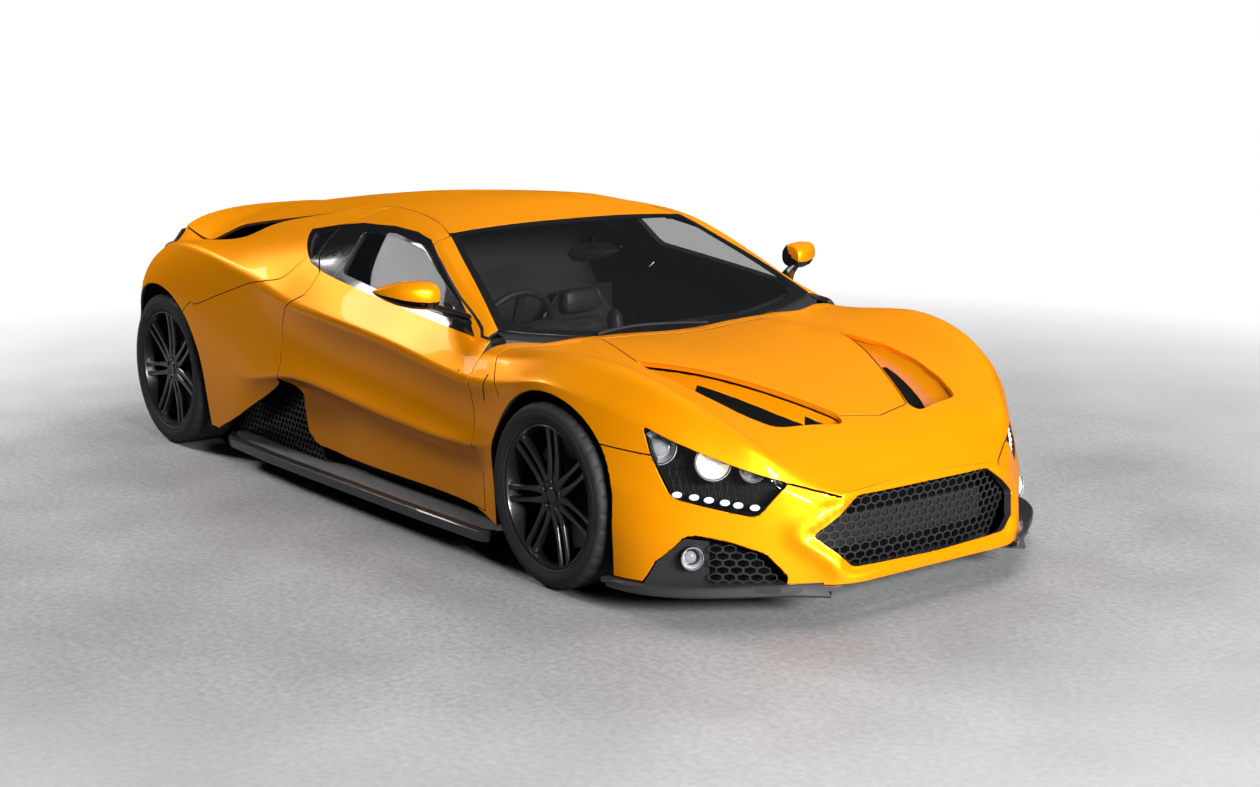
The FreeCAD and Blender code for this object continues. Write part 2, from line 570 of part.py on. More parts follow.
# Rear quarters: from the door to the tail, with the arch.
rear_skin = skin(side_bands + frame_bands, .0, -2.3122, 29, skin_wall, "rear side")
quarter_block = side_prism(quarter_shares, side / 3, wide)
rear_arch = wheel_space(rear_axle_x, size("rear_arch_height"), size("rear_arch_radius"),
                        side / 2, wide)
below_rail = Part.makeBox(half_length * 2, wide, rail_level, Vector(-half_length, 0, 0))
quarter = rear_skin.common(quarter_block).cut(door_space.common(below_rail)).cut(rail_keep)
quarter = quarter.cut(rear_arch).cut(side_prism(quarter_window_shares, side / 3, wide))
quarter = quarter.cut(edge_prism("edge", -.61, -2.28, gap, high * .9))
quarter = max(quarter.cut(roof_middle).Solids, key=lambda solid: solid.Volume)
keep("quarter_left", quarter)
keep("quarter_right", flipped(quarter))

# Engine cover: hinged at the tail on two lugs under it.
lid_x = -half_length + size("lid_hinge_step")
lid_z = size("lid_hinge_height")
lid_y = size("lid_middle")
lug = size("lid_lug")
boss = size("lid_boss")
ahead_of_lid = top_prism([(1, -.1), (1, 1), (-.625, 1), (-.625, -.1)], 0, high * 2)
lid = roof_skin.cut(ahead_of_lid).Solids[0]


def lid_rod(radius, low, far):
    return Part.makeCylinder(radius, far - low, Vector(lid_x, low, lid_z), Vector(0, 1, 0))


lug_blade = Part.makeBox(boss * 2, lug, high / 10, Vector(lid_x - boss, lid_y - lug / 2, lid_z))
lug_blade = lug_blade.cut(roof_skin)
lug_blade = min(lug_blade.Solids, key=lambda solid: solid.BoundBox.ZMin)
lid = lid.fuse([lug_blade, lid_rod(boss, lid_y - lug / 2, lid_y + lug / 2)])
lid = lid.cut(lid_rod(size("lid_pin_radius") + size("axle_gap"), lid_y - lug, lid_y + lug))
keep("engine_cover", joined(max(lid.Solids, key=lambda solid: solid.Volume)))


# Glass: the screen, the door windows and the quarter windows.
glass_wall = size("glass_wall")
screen_bands = [("rail", ["screen_mid"], "screen_line")]
screen = joined(skin(screen_bands, 1.0, .225, 13, glass_wall, "screen"))
screen = screen.cut([clam] + roof_pieces)
screen = max(screen.Solids, key=lambda solid: solid.Volume)
side_glass = skin([("crest", [], "cant")], .86, -.75, 17, glass_wall, "side glass", glass_wall)
quarter_window = side_glass.common(side_prism(quarter_window_shares, side / 3, wide))
keep("fixed_glass", Part.makeCompound([screen] + both(quarter_window).Solids))
door_glass = side_glass.common(window_space)
keep("door_glass_left", door_glass)
keep("door_glass_right", flipped(door_glass))

# Turned pieces of the wheels: profile points are (radius, Y), revolved round the axle.
def turned(points, x, z):
    face = Part.Face(Part.makePolygon([Vector(x, y, z + r) for r, y in points + points[:1]]))
    return face.revolve(Vector(x, 0, z), Vector(0, 1, 0), 360)


def round_bar(radius, low, far, x, z):
    return Part.makeCylinder(radius, far - low, Vector(x, low, z), Vector(0, 1, 0))


def wheel(end, axle_x):
    radius = size(end + "_tyre_radius")
    width = size(end + "_tyre_width")
    rim = size(end + "_rim_radius")
    outer = size(end + "_wheel_outer")
    wall = size("rim_wall")
    shoulder = size("tyre_shoulder")
    clear = size("bead_gap")
    low = outer - width
    inset = size("rim_inset")
    lip = rim - wall
    tyre = turned([(rim + clear, low + inset), (rim + clear, outer - inset), (rim + shoulder, outer),
                   (radius - shoulder * 1.6, outer), (radius - shoulder / 3, outer - shoulder / 2),
                   (radius, outer - shoulder * 1.3), (radius, low + shoulder * 1.3),
                   (radius - shoulder / 3, low + shoulder / 2), (radius - shoulder * 1.6, low),
                   (rim + shoulder, low)], axle_x, radius)
    barrel = turned([(rim, low + inset), (rim, outer - inset), (rim + wall / 2, outer - inset / 2),
                     (lip, outer - inset / 2), (lip - wall, outer - inset * 2),
                     (lip - wall, low + inset)], axle_x, radius)
    hub_face = outer - inset * 3
    hub_low = hub_face - size("hub_depth")
    hub = round_bar(size("hub_radius"), hub_low, hub_face, axle_x, radius)
    spokes = []
    depth = size("spoke_depth")
    reach = lip - wall / 2
    apart = (size("spoke_gap") + size("spoke_width")) / 2
    for turn in (-1, 1):
        low_x = turn * apart - size("spoke_width") / 2
        profile = [(size("hub_radius") * 0.7, hub_low + depth / 3), (reach, outer - inset * 3 - depth),
                   (reach, outer - inset * 2), (size("hub_radius") * 0.7, hub_face)]
        points = [Vector(axle_x + low_x, y, radius + r) for r, y in profile]
        face = Part.Face(Part.makePolygon(points + points[:1]))
        spokes.append(face.extrude(Vector(size("spoke_width"), 0, 0)))
    count = 7
    bars = []
    for spoke in spokes:
        for i in range(count):
            bar = spoke.copy()
            bar.rotate(Vector(axle_x, 0, radius), Vector(0, 1, 0), 360 * i / count)
            bars.append(bar)
    body = barrel.fuse([hub] + bars)
    axle_hole = round_bar(size("axle_radius") + size("axle_gap"), low, hub_face - inset * 2,
                          axle_x, radius)
    holes = [axle_hole]
    for i in range(5):
        hole = round_bar(size("lug_radius"), hub_face - inset, outer, axle_x, radius + size("lug_circle"))
        hole.rotate(Vector(axle_x, 0, radius), Vector(0, 1, 0), 360 * i / 5)
        holes.append(hole)
    body = body.cut(holes)
    disc_far = hub_low - size("disc_offset") / 2
    disc = round_bar(size("disc_radius"), disc_far - size("disc_wall"), disc_far, axle_x, radius)
    hat = round_bar(size("hub_radius"), disc_far, hub_low, axle_x, radius)
    disc = disc.fuse(hat).removeSplitter().cut(axle_hole)
    return tyre, body, disc


def upright(end, axle_x):
    """The hub carrier with its stub axle and the brake caliper."""
    radius = size(end + "_tyre_radius")
    outer = size(end + "_wheel_outer")
    hub_face = outer - size("rim_inset") * 3
    disc_far = hub_face - size("hub_depth") - size("disc_offset") / 2
    disc_low = disc_far - size("disc_wall")
    wall = size("knuckle_wall")
    far = disc_low - size("wheel_gap")
    block = Part.makeBox(wall * 1.8, wall, size("knuckle_height"),
                         Vector(axle_x - wall * .9, far - wall, radius - size("knuckle_height") / 2))
    stub = round_bar(size("axle_radius"), far - wall / 2, hub_face - size("rim_inset") * 2 - 1,
                     axle_x, radius)
    reach = size("disc_radius") + size("caliper_reach") / 3
    inner = size("disc_radius") - size("caliper_reach")
    gap_y = size("caliper_gap")
    low = disc_low - size("caliper_wall") - gap_y
    ring = turned([(inner, low), (reach + gap_y * 2, low), (reach + gap_y * 2, disc_far + size("caliper_wall")),
                   (inner, disc_far + size("caliper_wall"))], axle_x, radius)
    slot = turned([(inner - 1, disc_low - gap_y), (size("disc_radius") + gap_y, disc_low - gap_y),
                   (size("disc_radius") + gap_y, disc_far + gap_y), (inner - 1, disc_far + gap_y)],
                  axle_x, radius)
    window = Part.makeBox(reach * 2, side, size("caliper_height"),
                          Vector(axle_x + wall * .7, 0, radius - size("caliper_height") / 2))
    caliper = ring.cut(slot).common(window)
    bridge = Part.makeBox(inner + size("caliper_wall"), size("caliper_wall"), size("caliper_height") / 3,
                          Vector(axle_x, low, radius - size("caliper_height") / 6))
    pin = size("kingpin_radius")
    pin_half = size("knuckle_height") / 2 + size("arm_wall") + size("kingpin_gap") * 2
    kingpin = Part.makeCylinder(pin, pin_half * 2, Vector(axle_x, far - wall / 2, radius - pin_half))
    return block.fuse([stub, caliper, bridge, kingpin]).removeSplitter()


def arms(end, axle_x, rail_y):
    """Upper and lower suspension arms from the rail to the kingpin, with the rail's tower."""
    radius = size(end + "_tyre_radius")
    outer = size(end + "_wheel_outer")
    disc_low = outer - size("rim_inset") * 3 - size("hub_depth") - size("disc_offset") / 2 \
        - size("disc_wall")
    pin_y = disc_low - size("wheel_gap") - size("knuckle_wall") / 2
    half = size("knuckle_height") / 2
    wall = size("arm_wall")
    spread = size("arm_spread")
    bar = size("arm_width") / 2
    eye = size("kingpin_radius") * 1.35
    clear = size("axle_gap")
    solids = []
    for low in (radius + half + size("kingpin_gap"), radius - half - wall - size("kingpin_gap")):
        ring = Part.makeCylinder(eye, wall, Vector(axle_x, pin_y, low))
        legs = []
        for turn in (-1, 1):
            points = [Vector(axle_x + turn * spread - bar, rail_y, low),
                      Vector(axle_x + turn * spread + bar, rail_y, low),
                      Vector(axle_x + eye * .7 + turn * eye * .2, pin_y, low),
                      Vector(axle_x - eye * .7 + turn * eye * .2, pin_y, low)]
            legs.append(Part.Face(Part.makePolygon(points + points[:1])).extrude(Vector(0, 0, wall)))
        bore = Part.makeCylinder(size("kingpin_radius") + clear, wall * 2,
                                 Vector(axle_x, pin_y, low - wall / 2))
        solids.append(ring.fuse(legs).cut(bore))
    top = radius + half + wall + size("kingpin_gap")
    tower_low = size("rail_low") + size("rail_height")
    tower = Part.makeBox((spread + bar) * 2, size("rail_wall"), top - tower_low,
                         Vector(axle_x - spread - bar, rail_y - size("rail_wall"), tower_low))
    return Part.makeCompound(solids + [tower])


def liner(end, axle_x, cover):
    """The wheelhouse lining, trimmed to the inside of the outer skin."""
    radius = size(end + "_arch_radius") + size("liner_step")
    height = size(end + "_arch_height")
    wall = size("liner_wall")
    low_y = size(end + "_wheel_outer") - size(end + "_tyre_width") - size("liner_room")
    big = wheel_space(axle_x, height, radius, low_y, side * 1.1)
    small = wheel_space(axle_x, height, radius - wall, low_y - overrun, side * 1.2)
    keep_box = Part.makeBox(radius * 3, side * 2, high, Vector(axle_x - radius * 1.5, 0,
                                                             height * .75))
    shell = big.cut(small).common(keep_box).cut(cover)
    return max(shell.Solids, key=lambda solid: solid.Volume)


for end, axle_x in (("front", front_axle_x), ("rear", rear_axle_x)):
    tyre, rim_body, disc = wheel(end, axle_x)
    carrier = upright(end, axle_x)
    for flank in ("left", "right"):
        shapes = [tyre, rim_body, disc, carrier]
        if flank == "right":
            shapes = [flipped(shape) for shape in shapes]
        for kind, shape in zip(("tyre", "rim", "disc", "upright"), shapes):
            keep("%s_%s_%s" % (kind, end, flank), shape)

front_rail_y = size("rail_inner") + size("rail_wall")
rear_rail_y = size("rail_inner") + size("rail_wall") * 1.5
keep("suspension_arms", Part.makeCompound(
    both(arms("front", front_axle_x, front_rail_y)).Solids
    + both(arms("rear", rear_axle_x, rear_rail_y)).Solids))
keep("arch_liners", Part.makeCompound(both(liner("front", front_axle_x, front_skin)).Solids
                                      + both(liner("rear", rear_axle_x, rear_skin)).Solids))


# Pieces made from simple solids, their sizes bound to the sheet.
rear_end_text = "0 - (wheelbase + front_overhang + rear_overhang) / 2"


def bound(obj, sizes, place):
    for key, text in sizes.items():
        obj.setExpression(key, ref(text))
    for key, text in zip(("x", "y", "z"), place):
        obj.setExpression(".Placement.Base." + key, ref(text))
    return obj


def box(name, length, width, height, place):
    obj = doc.addObject("Part::Box", name)
    return bound(obj, {"Length": length, "Width": width, "Height": height}, place)


def rod(name, radius, length, place, axis=Vector(0, 1, 0)):
    obj = doc.addObject("Part::Cylinder", name)
    obj.Placement.Rotation = FreeCAD.Rotation(Vector(0, 0, 1), axis)
    return bound(obj, {"Radius": radius, "Height": length}, place)


def union(name, members):
    obj = doc.addObject("Part::MultiFuse", name)
    obj.Shapes = members
    obj.Refine = True
    return obj


def minus(name, base, tool):
    obj = doc.addObject("Part::Cut", name)
    obj.Base = base
    obj.Tool = tool
    return obj


def mirrored(name, source):
    obj = doc.addObject("Part::Mirroring", name)
    obj.Source = source
    obj.Normal = Vector(0, 1, 0)
    return obj


def piece(name, obj):
    obj.Label = name
    pieces[name] = obj
    return obj


def pair(name, half):
    """A piece and its mirror image, kept as one node of two solids or one joined solid."""
    return piece(name, union(name, [half, mirrored(name + "_mirror", half)]))


# Tub: floor, sills, scuttle and rear bulkhead.
tub_length = "front_bulkhead + rear_bulkhead"
floor = box("floor", tub_length, "tub_half_width * 2", "floor_wall",
            ("-rear_bulkhead", "-tub_half_width", "floor_height"))
sill = box("sill", tub_length, "sill_wall", "sill_height",
           ("-rear_bulkhead", "tub_half_width - sill_wall", "floor_height"))
sill_mirror = mirrored("sill_mirror", sill)
scuttle_plate = Part.makeBox(size("bulkhead_wall") / 2, size("tub_half_width") * 2,
                             size("scuttle_height"),
                             Vector(size("front_bulkhead") - size("bulkhead_wall") / 2,
                                    -size("tub_half_width"), size("floor_height")))
scuttle_plate = scuttle_plate.cut([front_skin, flipped(front_skin), screen])
scuttle = doc.addObject("Part::Feature", "scuttle")
scuttle.Shape = min(scuttle_plate.Solids, key=lambda solid: solid.BoundBox.ZMin)
back_wall = box("back_wall", "bulkhead_wall", "tub_half_width * 2", "rear_bulkhead_height",
                ("-rear_bulkhead", "-tub_half_width", "floor_height"))
tunnel = box("tunnel", tub_length, "console_width", "console_height",
             ("-rear_bulkhead", "-console_width / 2", "floor_height"))

# Hinge posts on the sills, with the plates and pins that carry the doors.
post_y = "tub_half_width - hinge_post_wall"
sill_top = "floor_height + sill_height"
hinge_post = box("hinge_post", "hinge_post_length", "hinge_post_wall",
                 "hinge_post_height - floor_height - sill_height",
                 ("door_hinge_place - hinge_post_length / 2", post_y, sill_top))
hinge_members = [hinge_post]
for tag, level in (("low", "door_hinge_low"), ("high", "door_hinge_high")):
    eye_text = "door_pin_radius + panel_gap * 0.6"
    hinge_members.append(box("hinge_arm_" + tag, "(%s) * 2" % eye_text,
                             "door_hinge_reach - tub_half_width + hinge_post_wall / 2", "hinge_plate",
                             ("door_hinge_place - (%s)" % eye_text,
                              "tub_half_width - hinge_post_wall / 2", level + " - hinge_plate / 2")))
    hinge_members.append(rod("hinge_eye_" + tag, eye_text, "hinge_plate",
                             ("door_hinge_place", "door_hinge_reach", level + " - hinge_plate / 2"),
                             Vector(0, 0, 1)))
    hinge_members.append(rod("hinge_pin_" + tag, "door_pin_radius", "door_pin_half * 2",
                             ("door_hinge_place", "door_hinge_reach", level + " - door_pin_half"),
                             Vector(0, 0, 1)))
hinges = union("door_hinges", hinge_members)
hinges_mirror = mirrored("door_hinges_mirror", hinges)
piece("tub", union("tub", [floor, sill, sill_mirror, scuttle, back_wall, tunnel, hinges,
                           hinges_mirror]))

# Front and rear rails that carry the suspension, the beams and the panels.
front_rail = box("front_rail", "front_rail_end - front_bulkhead", "rail_wall", "rail_height",
                 ("front_bulkhead", "rail_inner", "rail_low"))
front_beam = box("front_beam", "crash_beam", "rail_inner + rail_wall", "rail_height",
                 ("front_rail_end - crash_beam", "0", "rail_low"))
front_half = union("front_half", [front_rail, front_beam])

rear_rail = box("rear_rail", "rear_rail_end - rear_bulkhead", "rail_wall", "rail_height",
                ("-rear_rail_end", "rail_inner + rail_wall / 2", "rail_low"))
rear_beam = box("rear_beam", "crash_beam", "rail_inner + rail_wall * 1.5", "rail_height",
                ("-rear_rail_end", "0", "rail_low"))
rear_half = union("rear_half", [rear_rail, rear_beam])
rails_half = union("rails_half", [front_half, rear_half])
pair("frame_rails", rails_half)

# Cabin.
cushion = box("cushion", "seat_length", "seat_width", "seat_cushion",
              ("seat_front - seat_length", "seat_middle - seat_width / 2",
               "floor_height + floor_wall"))
backrest = box("backrest", "seat_back", "seat_width", "seat_back_height",
               ("seat_front - seat_length - seat_back", "seat_middle - seat_width / 2",
                "floor_height + floor_wall"))
pair("seats", union("seat_half", [cushion, backrest]))
engine = box("engine", "engine_length", "engine_width", "engine_height",
             ("-engine_middle - engine_length / 2", "-engine_width / 2", "engine_low"))
pipe_place = (rear_end_text, "pipe_middle", "pipe_height")
pipe_run = "(wheelbase + front_overhang + rear_overhang) / 2 - engine_middle - engine_length / 2"
pipes = minus("pipes", rod("pipe", "pipe_radius", pipe_run, pipe_place, Vector(1, 0, 0)),
              rod("pipe_bore", "pipe_radius - pipe_wall", "pipe_length", pipe_place,
                  Vector(1, 0, 0)))
piece("engine_block", union("engine_block", [engine, pipes, mirrored("pipes_mirror", pipes)]))

# Outer trim: splitter, skirts, diffuser and tail.
splitter_shares = [(1.74, .975), (1.90, .925), (2.10, .745), (2.22, .60), (2.32, .425), (2.20, .425),
                   (2.08, .50), (1.95, .64), (1.74, .74)]
splitter_low = size("splitter_low")
splitter = top_prism(splitter_shares, splitter_low, splitter_low + size("splitter_wall"))
keep("splitter", both(splitter))
skirt_top = size("floor_height") + size("floor_wall")
skirt_shares = [(.95, .79), (1.02, .79), (1.02, .975), (.5, .985), (-.6, .985), (-1.10, .965),
                (-1.18, .79)]
skirt = top_prism(skirt_shares, skirt_top - size("skirt_wall"), skirt_top)
skirt_lip_shares = [(1.02, .953), (1.02, .975), (.5, .985), (-.6, .985), (-1.10, .965),
                    (-1.10, .943), (-.6, .963), (.5, .963)]
skirt_lip = top_prism(skirt_lip_shares, size("skirt_low"), skirt_top)
keep("skirts", both(skirt.fuse(skirt_lip).removeSplitter()))

tail_shares = [(-.01, .22), (.78, .22), (.81, .45), (.78, .68), (.73, .765), (.60, .875),
               (.56, .925), (.50, .937), (.40, .95), (.33, .969), (.276, .979), (.142, .984),
               (-.01, .986)]
tail_points = [Vector(-half_length, y * side, z * high) for y, z in tail_shares]
tail_face = Part.Face(Part.makePolygon(tail_points + tail_points[:1]))
tail_panel = tail_face.extrude(Vector(size("tail_wall"), 0, 0))
lamp_hole = Part.makeCylinder(size("tail_lamp_radius"), size("tail_wall"),
                              Vector(-half_length, side * .60, high * .68), Vector(1, 0, 0))
ear_y = lid_y + lug / 2 + gap
ear = Part.makeBox(size("lid_hinge_step") - size("tail_wall") + boss, lug, boss * 2,
                   Vector(-half_length + size("tail_wall"), ear_y, lid_z - boss))
ear = ear.fuse(lid_rod(size("lid_pin_radius"), lid_y - lug, ear_y + lug / 2))
lug_slot = Part.makeBox(size("tail_wall"), lug + gap * 2, high / 10,
                        Vector(-half_length, lid_y - lug / 2 - gap, lid_z))
heat_hole = Part.makeBox(size("tail_wall"), size("heat_net_half"),
                         size("heat_net_high") - size("heat_net_low"),
                         Vector(-half_length, -overrun, size("heat_net_low")))
pipe_at = Vector(-half_length, size("pipe_middle"), size("pipe_height"))
pipe_hole = Part.makeCylinder(size("pipe_radius"), size("tail_wall"), pipe_at, Vector(1, 0, 0))
tail_panel = tail_panel.cut([lamp_hole, lug_slot, heat_hole, pipe_hole])
keep("tail_panel", joined(tail_panel.fuse(ear)))
lamp_at = Vector(-half_length, side * .60, high * .68)
keep("tail_lamps", both(Part.makeCylinder(size("tail_lamp_radius"), size("tail_wall"), lamp_at,
                                         Vector(1, 0, 0))))
diffuser_top = size("rail_low") - size("bead_gap")
diffuser = top_prism([(-2.3122, -.01), (-2.3122, .62), (-1.95, .62), (-1.95, -.01)],
                     diffuser_top - size("skirt_wall"), diffuser_top)
fin_top = diffuser_top - size("skirt_wall")
fin_low = fin_top - size("fin_height")
fins = []
for fin_share in (.12, .30, .48):
    fin_y = side * fin_share
    rear_end = -half_length + size("tail_wall")
    points = [Vector(rear_end, fin_y, fin_top), Vector(rear_end, fin_y, fin_low),
              Vector(rear_end + side * .30, fin_y, fin_top - size("fin_height") / 4),
              Vector(rear_end + side * .34, fin_y, fin_top)]
    fins.append(Part.Face(Part.makePolygon(points + points[:1])).extrude(
        Vector(0, size("fin_wall"), 0)))
keep("diffuser", joined(diffuser.fuse(fins).removeSplitter()))

# Grille mesh: wide hexagonal cells in a flat net behind the nose.
def net(outline, x, wall, what):
    """A hexagonal net within a front-view outline (half width, height)."""
    points = [Vector(x, y * side, z * high) for y, z in outline]
    face = Part.Face(Part.makePolygon(points + points[:1]))
    bounds = face.BoundBox
    pitch = size("mesh_pitch")
    rise = size("mesh_rise")
    bar = size("mesh_bar")
    cells = []
    half_w = (pitch - bar) / 2
    half_h = (rise - bar) * 0.62
    row = 0
    z = bounds.ZMin
    while z < bounds.ZMax + rise:
        y = bounds.YMin - pitch + (row % 2) * pitch / 2
        while y < bounds.YMax + pitch:
            corners = [Vector(x, y + half_w * a, z + half_h * b)
                       for a, b in ((1, -.5), (1, .5), (0, 1), (-1, .5), (-1, -.5), (0, -1))]
            cell = Part.Face(Part.makePolygon(corners + corners[:1]))
            if all(face.isInside(corner, 0.01, True) for corner in corners):
                cells.append(cell)
            y += pitch
        z += rise
        row += 1
    plate = face.cut(cells)
    return plate.extrude(Vector(wall, 0, 0))


full_grille = grown([(y, z) for y, z in grille_shares[1:4]]
                    + [(-y, z) for y, z in reversed(grille_shares[1:4])], .02)
grille_net = net(full_grille, size("grille_seat"), size("mesh_wall"), "grille")
fog_turn = 45
fog_pivot = .62
fog_plane = [(fog_pivot + (y - fog_pivot) / math.cos(math.radians(fog_turn)), z)
             for y, z in fog_shares]
fog_net = net(fog_plane, along(2.09), size("mesh_wall"), "fog")
fog_net.rotate(Vector(along(2.09), fog_pivot * side, 0), Vector(0, 0, 1), fog_turn)
skirt_level = (size("floor_height") + size("floor_wall")) / high
intake_shares = [(-.40, skirt_level), (-.40, .50), (-.56, .50), (-.70, .42), (-.86, .27),
                 (-.96, skirt_level)]
intake_net = net([(along(x) / side, z) for x, z in intake_shares], 0, size("mesh_wall"), "intake")
intake_net.rotate(Vector(0, 0, 0), Vector(0, 0, 1), -90)
intake_net.translate(Vector(0, size("intake_reach"), 0))
intake_net = intake_net.cut(door_space)
heat_half = size("heat_net_half") / side
heat_low = size("heat_net_low") / high
heat_high = size("heat_net_high") / high
heat_shares = [(-heat_half, heat_low), (heat_half, heat_low), (heat_half, heat_high),
               (-heat_half, heat_high)]
heat_net = net(grown(heat_shares, tray_wall / high), -half_length + size("tail_wall"),
               size("mesh_wall"), "heat outlet")
grille_net = grille_net.cut(pieces["front_bumper"].Shape)
fog_lamp_share = (1.985, .775, .211)
fog_lamp_face = Vector(along(fog_lamp_share[0]), side * fog_lamp_share[1],
                       high * fog_lamp_share[2])
fog_lamp = Part.makeCylinder(size("fog_lamp_radius"), size("fog_lamp_depth"), fog_lamp_face,
                             Vector(-1, 0, 0))
fog_net = fog_net.common(fog_space).cut(fog_lamp)
nets = [max(item.Solids, key=lambda solid: solid.Volume)
        for item in (grille_net, heat_net, fog_net, intake_net)]
keep("grille_mesh", Part.makeCompound(nets[:2] + both(nets[2]).Solids + both(nets[3]).Solids))
lens_wall = size("lens_wall")
lamp_wall = size("lamp_wall")
lens_back = lens_wall + size("lens_gap")
lamp_block = side_prism(lamp_shares, side / 3, wide)
lens = skin(side_bands, 2.3, 1.55, 13, lens_wall, "lens").common(lamp_block)
bowl = skin(side_bands, 2.3, 1.55, 13, size("lamp_depth"), "bowl", lens_back).common(lamp_block)
hollow = skin(side_bands, 2.3, 1.55, 13, size("lamp_depth") - lamp_wall, "hollow", lens_back)
hollow = hollow.common(side_prism(grown(lamp_shares, -lamp_wall / high), side / 3, wide))
bowl = max(bowl.cut(hollow).Solids, key=lambda solid: solid.Volume)

# Three round lamps and a row of six small ones in each bowl: place, reach, height.
round_lamp_shares = [(1.862, .828, .583), (2.004, .709, .540), (2.092, .613, .518)]
small_lamp_shares = [(1.944, .814, .418), (1.985, .775, .411), (2.020, .741, .403),
                     (2.055, .702, .395), (2.0845, .670, .387), (2.119, .628, .379)]


def lamp_barrel(shares, radius, front_gap):
    """A lamp barrel pointing forward, from the bowl's back to front_gap behind the lens."""
    x, y, z = shares
    back = Vector(along(x) - size("lamp_depth") * 1.8, y * side, z * high)
    barrel = Part.makeCylinder(radius, size("lamp_depth") * 1.8 - front_gap, back, Vector(1, 0, 0))
    barrel = barrel.common(hollow_in)
    return max(barrel.Solids, key=lambda solid: solid.Volume)


hollow_in = skin(side_bands, 2.3, 1.55, 13, size("lamp_depth") - lamp_wall - lens_back * 2,
                 "lamp room", lens_back * 3)
hollow_in = hollow_in.common(hollow)
lamp_units = [lamp_barrel(item, size("round_lamp_radius"), size("round_lamp_radius") / 2)
              for item in round_lamp_shares]
lamp_units += [lamp_barrel(item, size("small_lamp_radius"), size("small_lamp_radius"))
               for item in small_lamp_shares]

keep("headlamps", both(Part.makeCompound([lens, bowl, fog_lamp] + lamp_units)))

# Mirrors on the doors.
mirror_half = size("mirror_width") / 2
# Sections of the housing, root to tip: place along it, depth, height, rearward shift.
mirror_shares = [(0, .42, .40, -.55), (.12, .80, .78, -.45), (.40, 1, 1, -.12), (.72, .88, .86, .30),
                 (.93, .52, .50, .62), (1, .20, .20, .74)]
mirror_wires = []
for place, depth_share, height_share, shift in mirror_shares:
    centre = Vector(size("mirror_place") - shift * size("mirror_depth"),
                    size("mirror_reach") - size("mirror_width") * (1 - place),
                    size("mirror_middle"))
    oval = Part.Ellipse(centre + Vector(size("mirror_depth") / 2 * depth_share, 0, 0),
                        centre + Vector(0, 0, size("mirror_height") / 2 * height_share), centre)
    mirror_wires.append(Part.Wire([oval.toShape()]))
mirror = Part.makeLoft(mirror_wires, True, False)
arm_wall = size("mirror_arm")
mirror_arm = Part.makeBox(arm_wall * 3, size("mirror_reach") - mirror_half - side * .82,
                          arm_wall * 3,
                          Vector(size("mirror_place") + arm_wall * 1.2, side * .82,
                                 size("mirror_middle") - size("mirror_height") / 2 - arm_wall * 2.3))
mirror = mirror.fuse(mirror_arm).cut([door, door_glass])
mirror = max(mirror.Solids, key=lambda solid: abs(solid.Volume))
keep("mirror_left", mirror)
keep("mirror_right", flipped(mirror))

# Steering wheel on the right-hand side, and its column.
dash_front = size("front_bulkhead") - size("bulkhead_wall") / 2 - size("dash_gap")
tilt = FreeCAD.Rotation(Vector(0, 1, 0), 90 + size("steering_tilt"))
wheel_ring = Part.makeTorus(size("steering_radius"), size("steering_rim"))
hub = Part.makeCylinder(size("column_radius") * 2, size("steering_rim") * 2,
                        Vector(0, 0, -size("steering_rim")))
spoke_bar = Part.makeBox(size("steering_radius") * 2, size("column_radius") * 1.5,
                         size("steering_rim"),
                         Vector(-size("steering_radius"), -size("column_radius") * .75,
                                -size("steering_rim") / 2))
cross_bar = spoke_bar.copy()
cross_bar.rotate(Vector(0, 0, 0), Vector(0, 0, 1), 90)
steering = wheel_ring.fuse([hub, spoke_bar, cross_bar])
column = Part.makeCylinder(size("column_radius"), size("steering_reach"), Vector(0, 0, 0))
steering = steering.fuse(column)
seat_of_wheel = FreeCAD.Placement(
    Vector(dash_front - size("dash_depth") - size("steering_reach") * .7,
           -size("seat_middle"), size("steering_height")), tilt)
keep("steering_wheel", steering.transformed(seat_of_wheel.toMatrix()))
column_hole = Part.makeCylinder(size("column_radius") + gap / 5, size("steering_reach") + gap)
dash_top = size("dash_top")
dash_low = dash_top - size("dash_height")
dash_rear = dash_front - size("dash_depth")
dash_points = [(dash_front, dash_top), (dash_rear + dash_low * .1, dash_top),
               (dash_rear, dash_top - dash_low * .2), (dash_rear + dash_low * .2, dash_low),
               (dash_front, dash_low)]
dash_half_width = size("tub_half_width") - gap * 8
dash_points = [Vector(x, -dash_half_width, z) for x, z in dash_points]
dash_face = Part.Face(Part.makePolygon(dash_points + dash_points[:1]))
dashboard = dash_face.extrude(Vector(0, dash_half_width * 2, 0))
keep("dashboard", dashboard.cut(column_hole.transformed(seat_of_wheel.toMatrix())))

doc.recompute()
os.makedirs("parts", exist_ok=True)
for name, obj in pieces.items():
    if "Invalid" in obj.State or "Error" in obj.State or obj.Shape.isNull() or not obj.Shape.isValid():
        raise RuntimeError("bad piece: " + name)
for name, obj in pieces.items():
    obj.Shape.exportStep("parts/%s.step" % name)
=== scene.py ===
"""Finish of the coupe car: body panels, glass, lamps, wheels, cabin, floor and light, in metres."""
import json
import math

import bmesh
import bpy
import numpy as np
from mathutils import Matrix, Vector


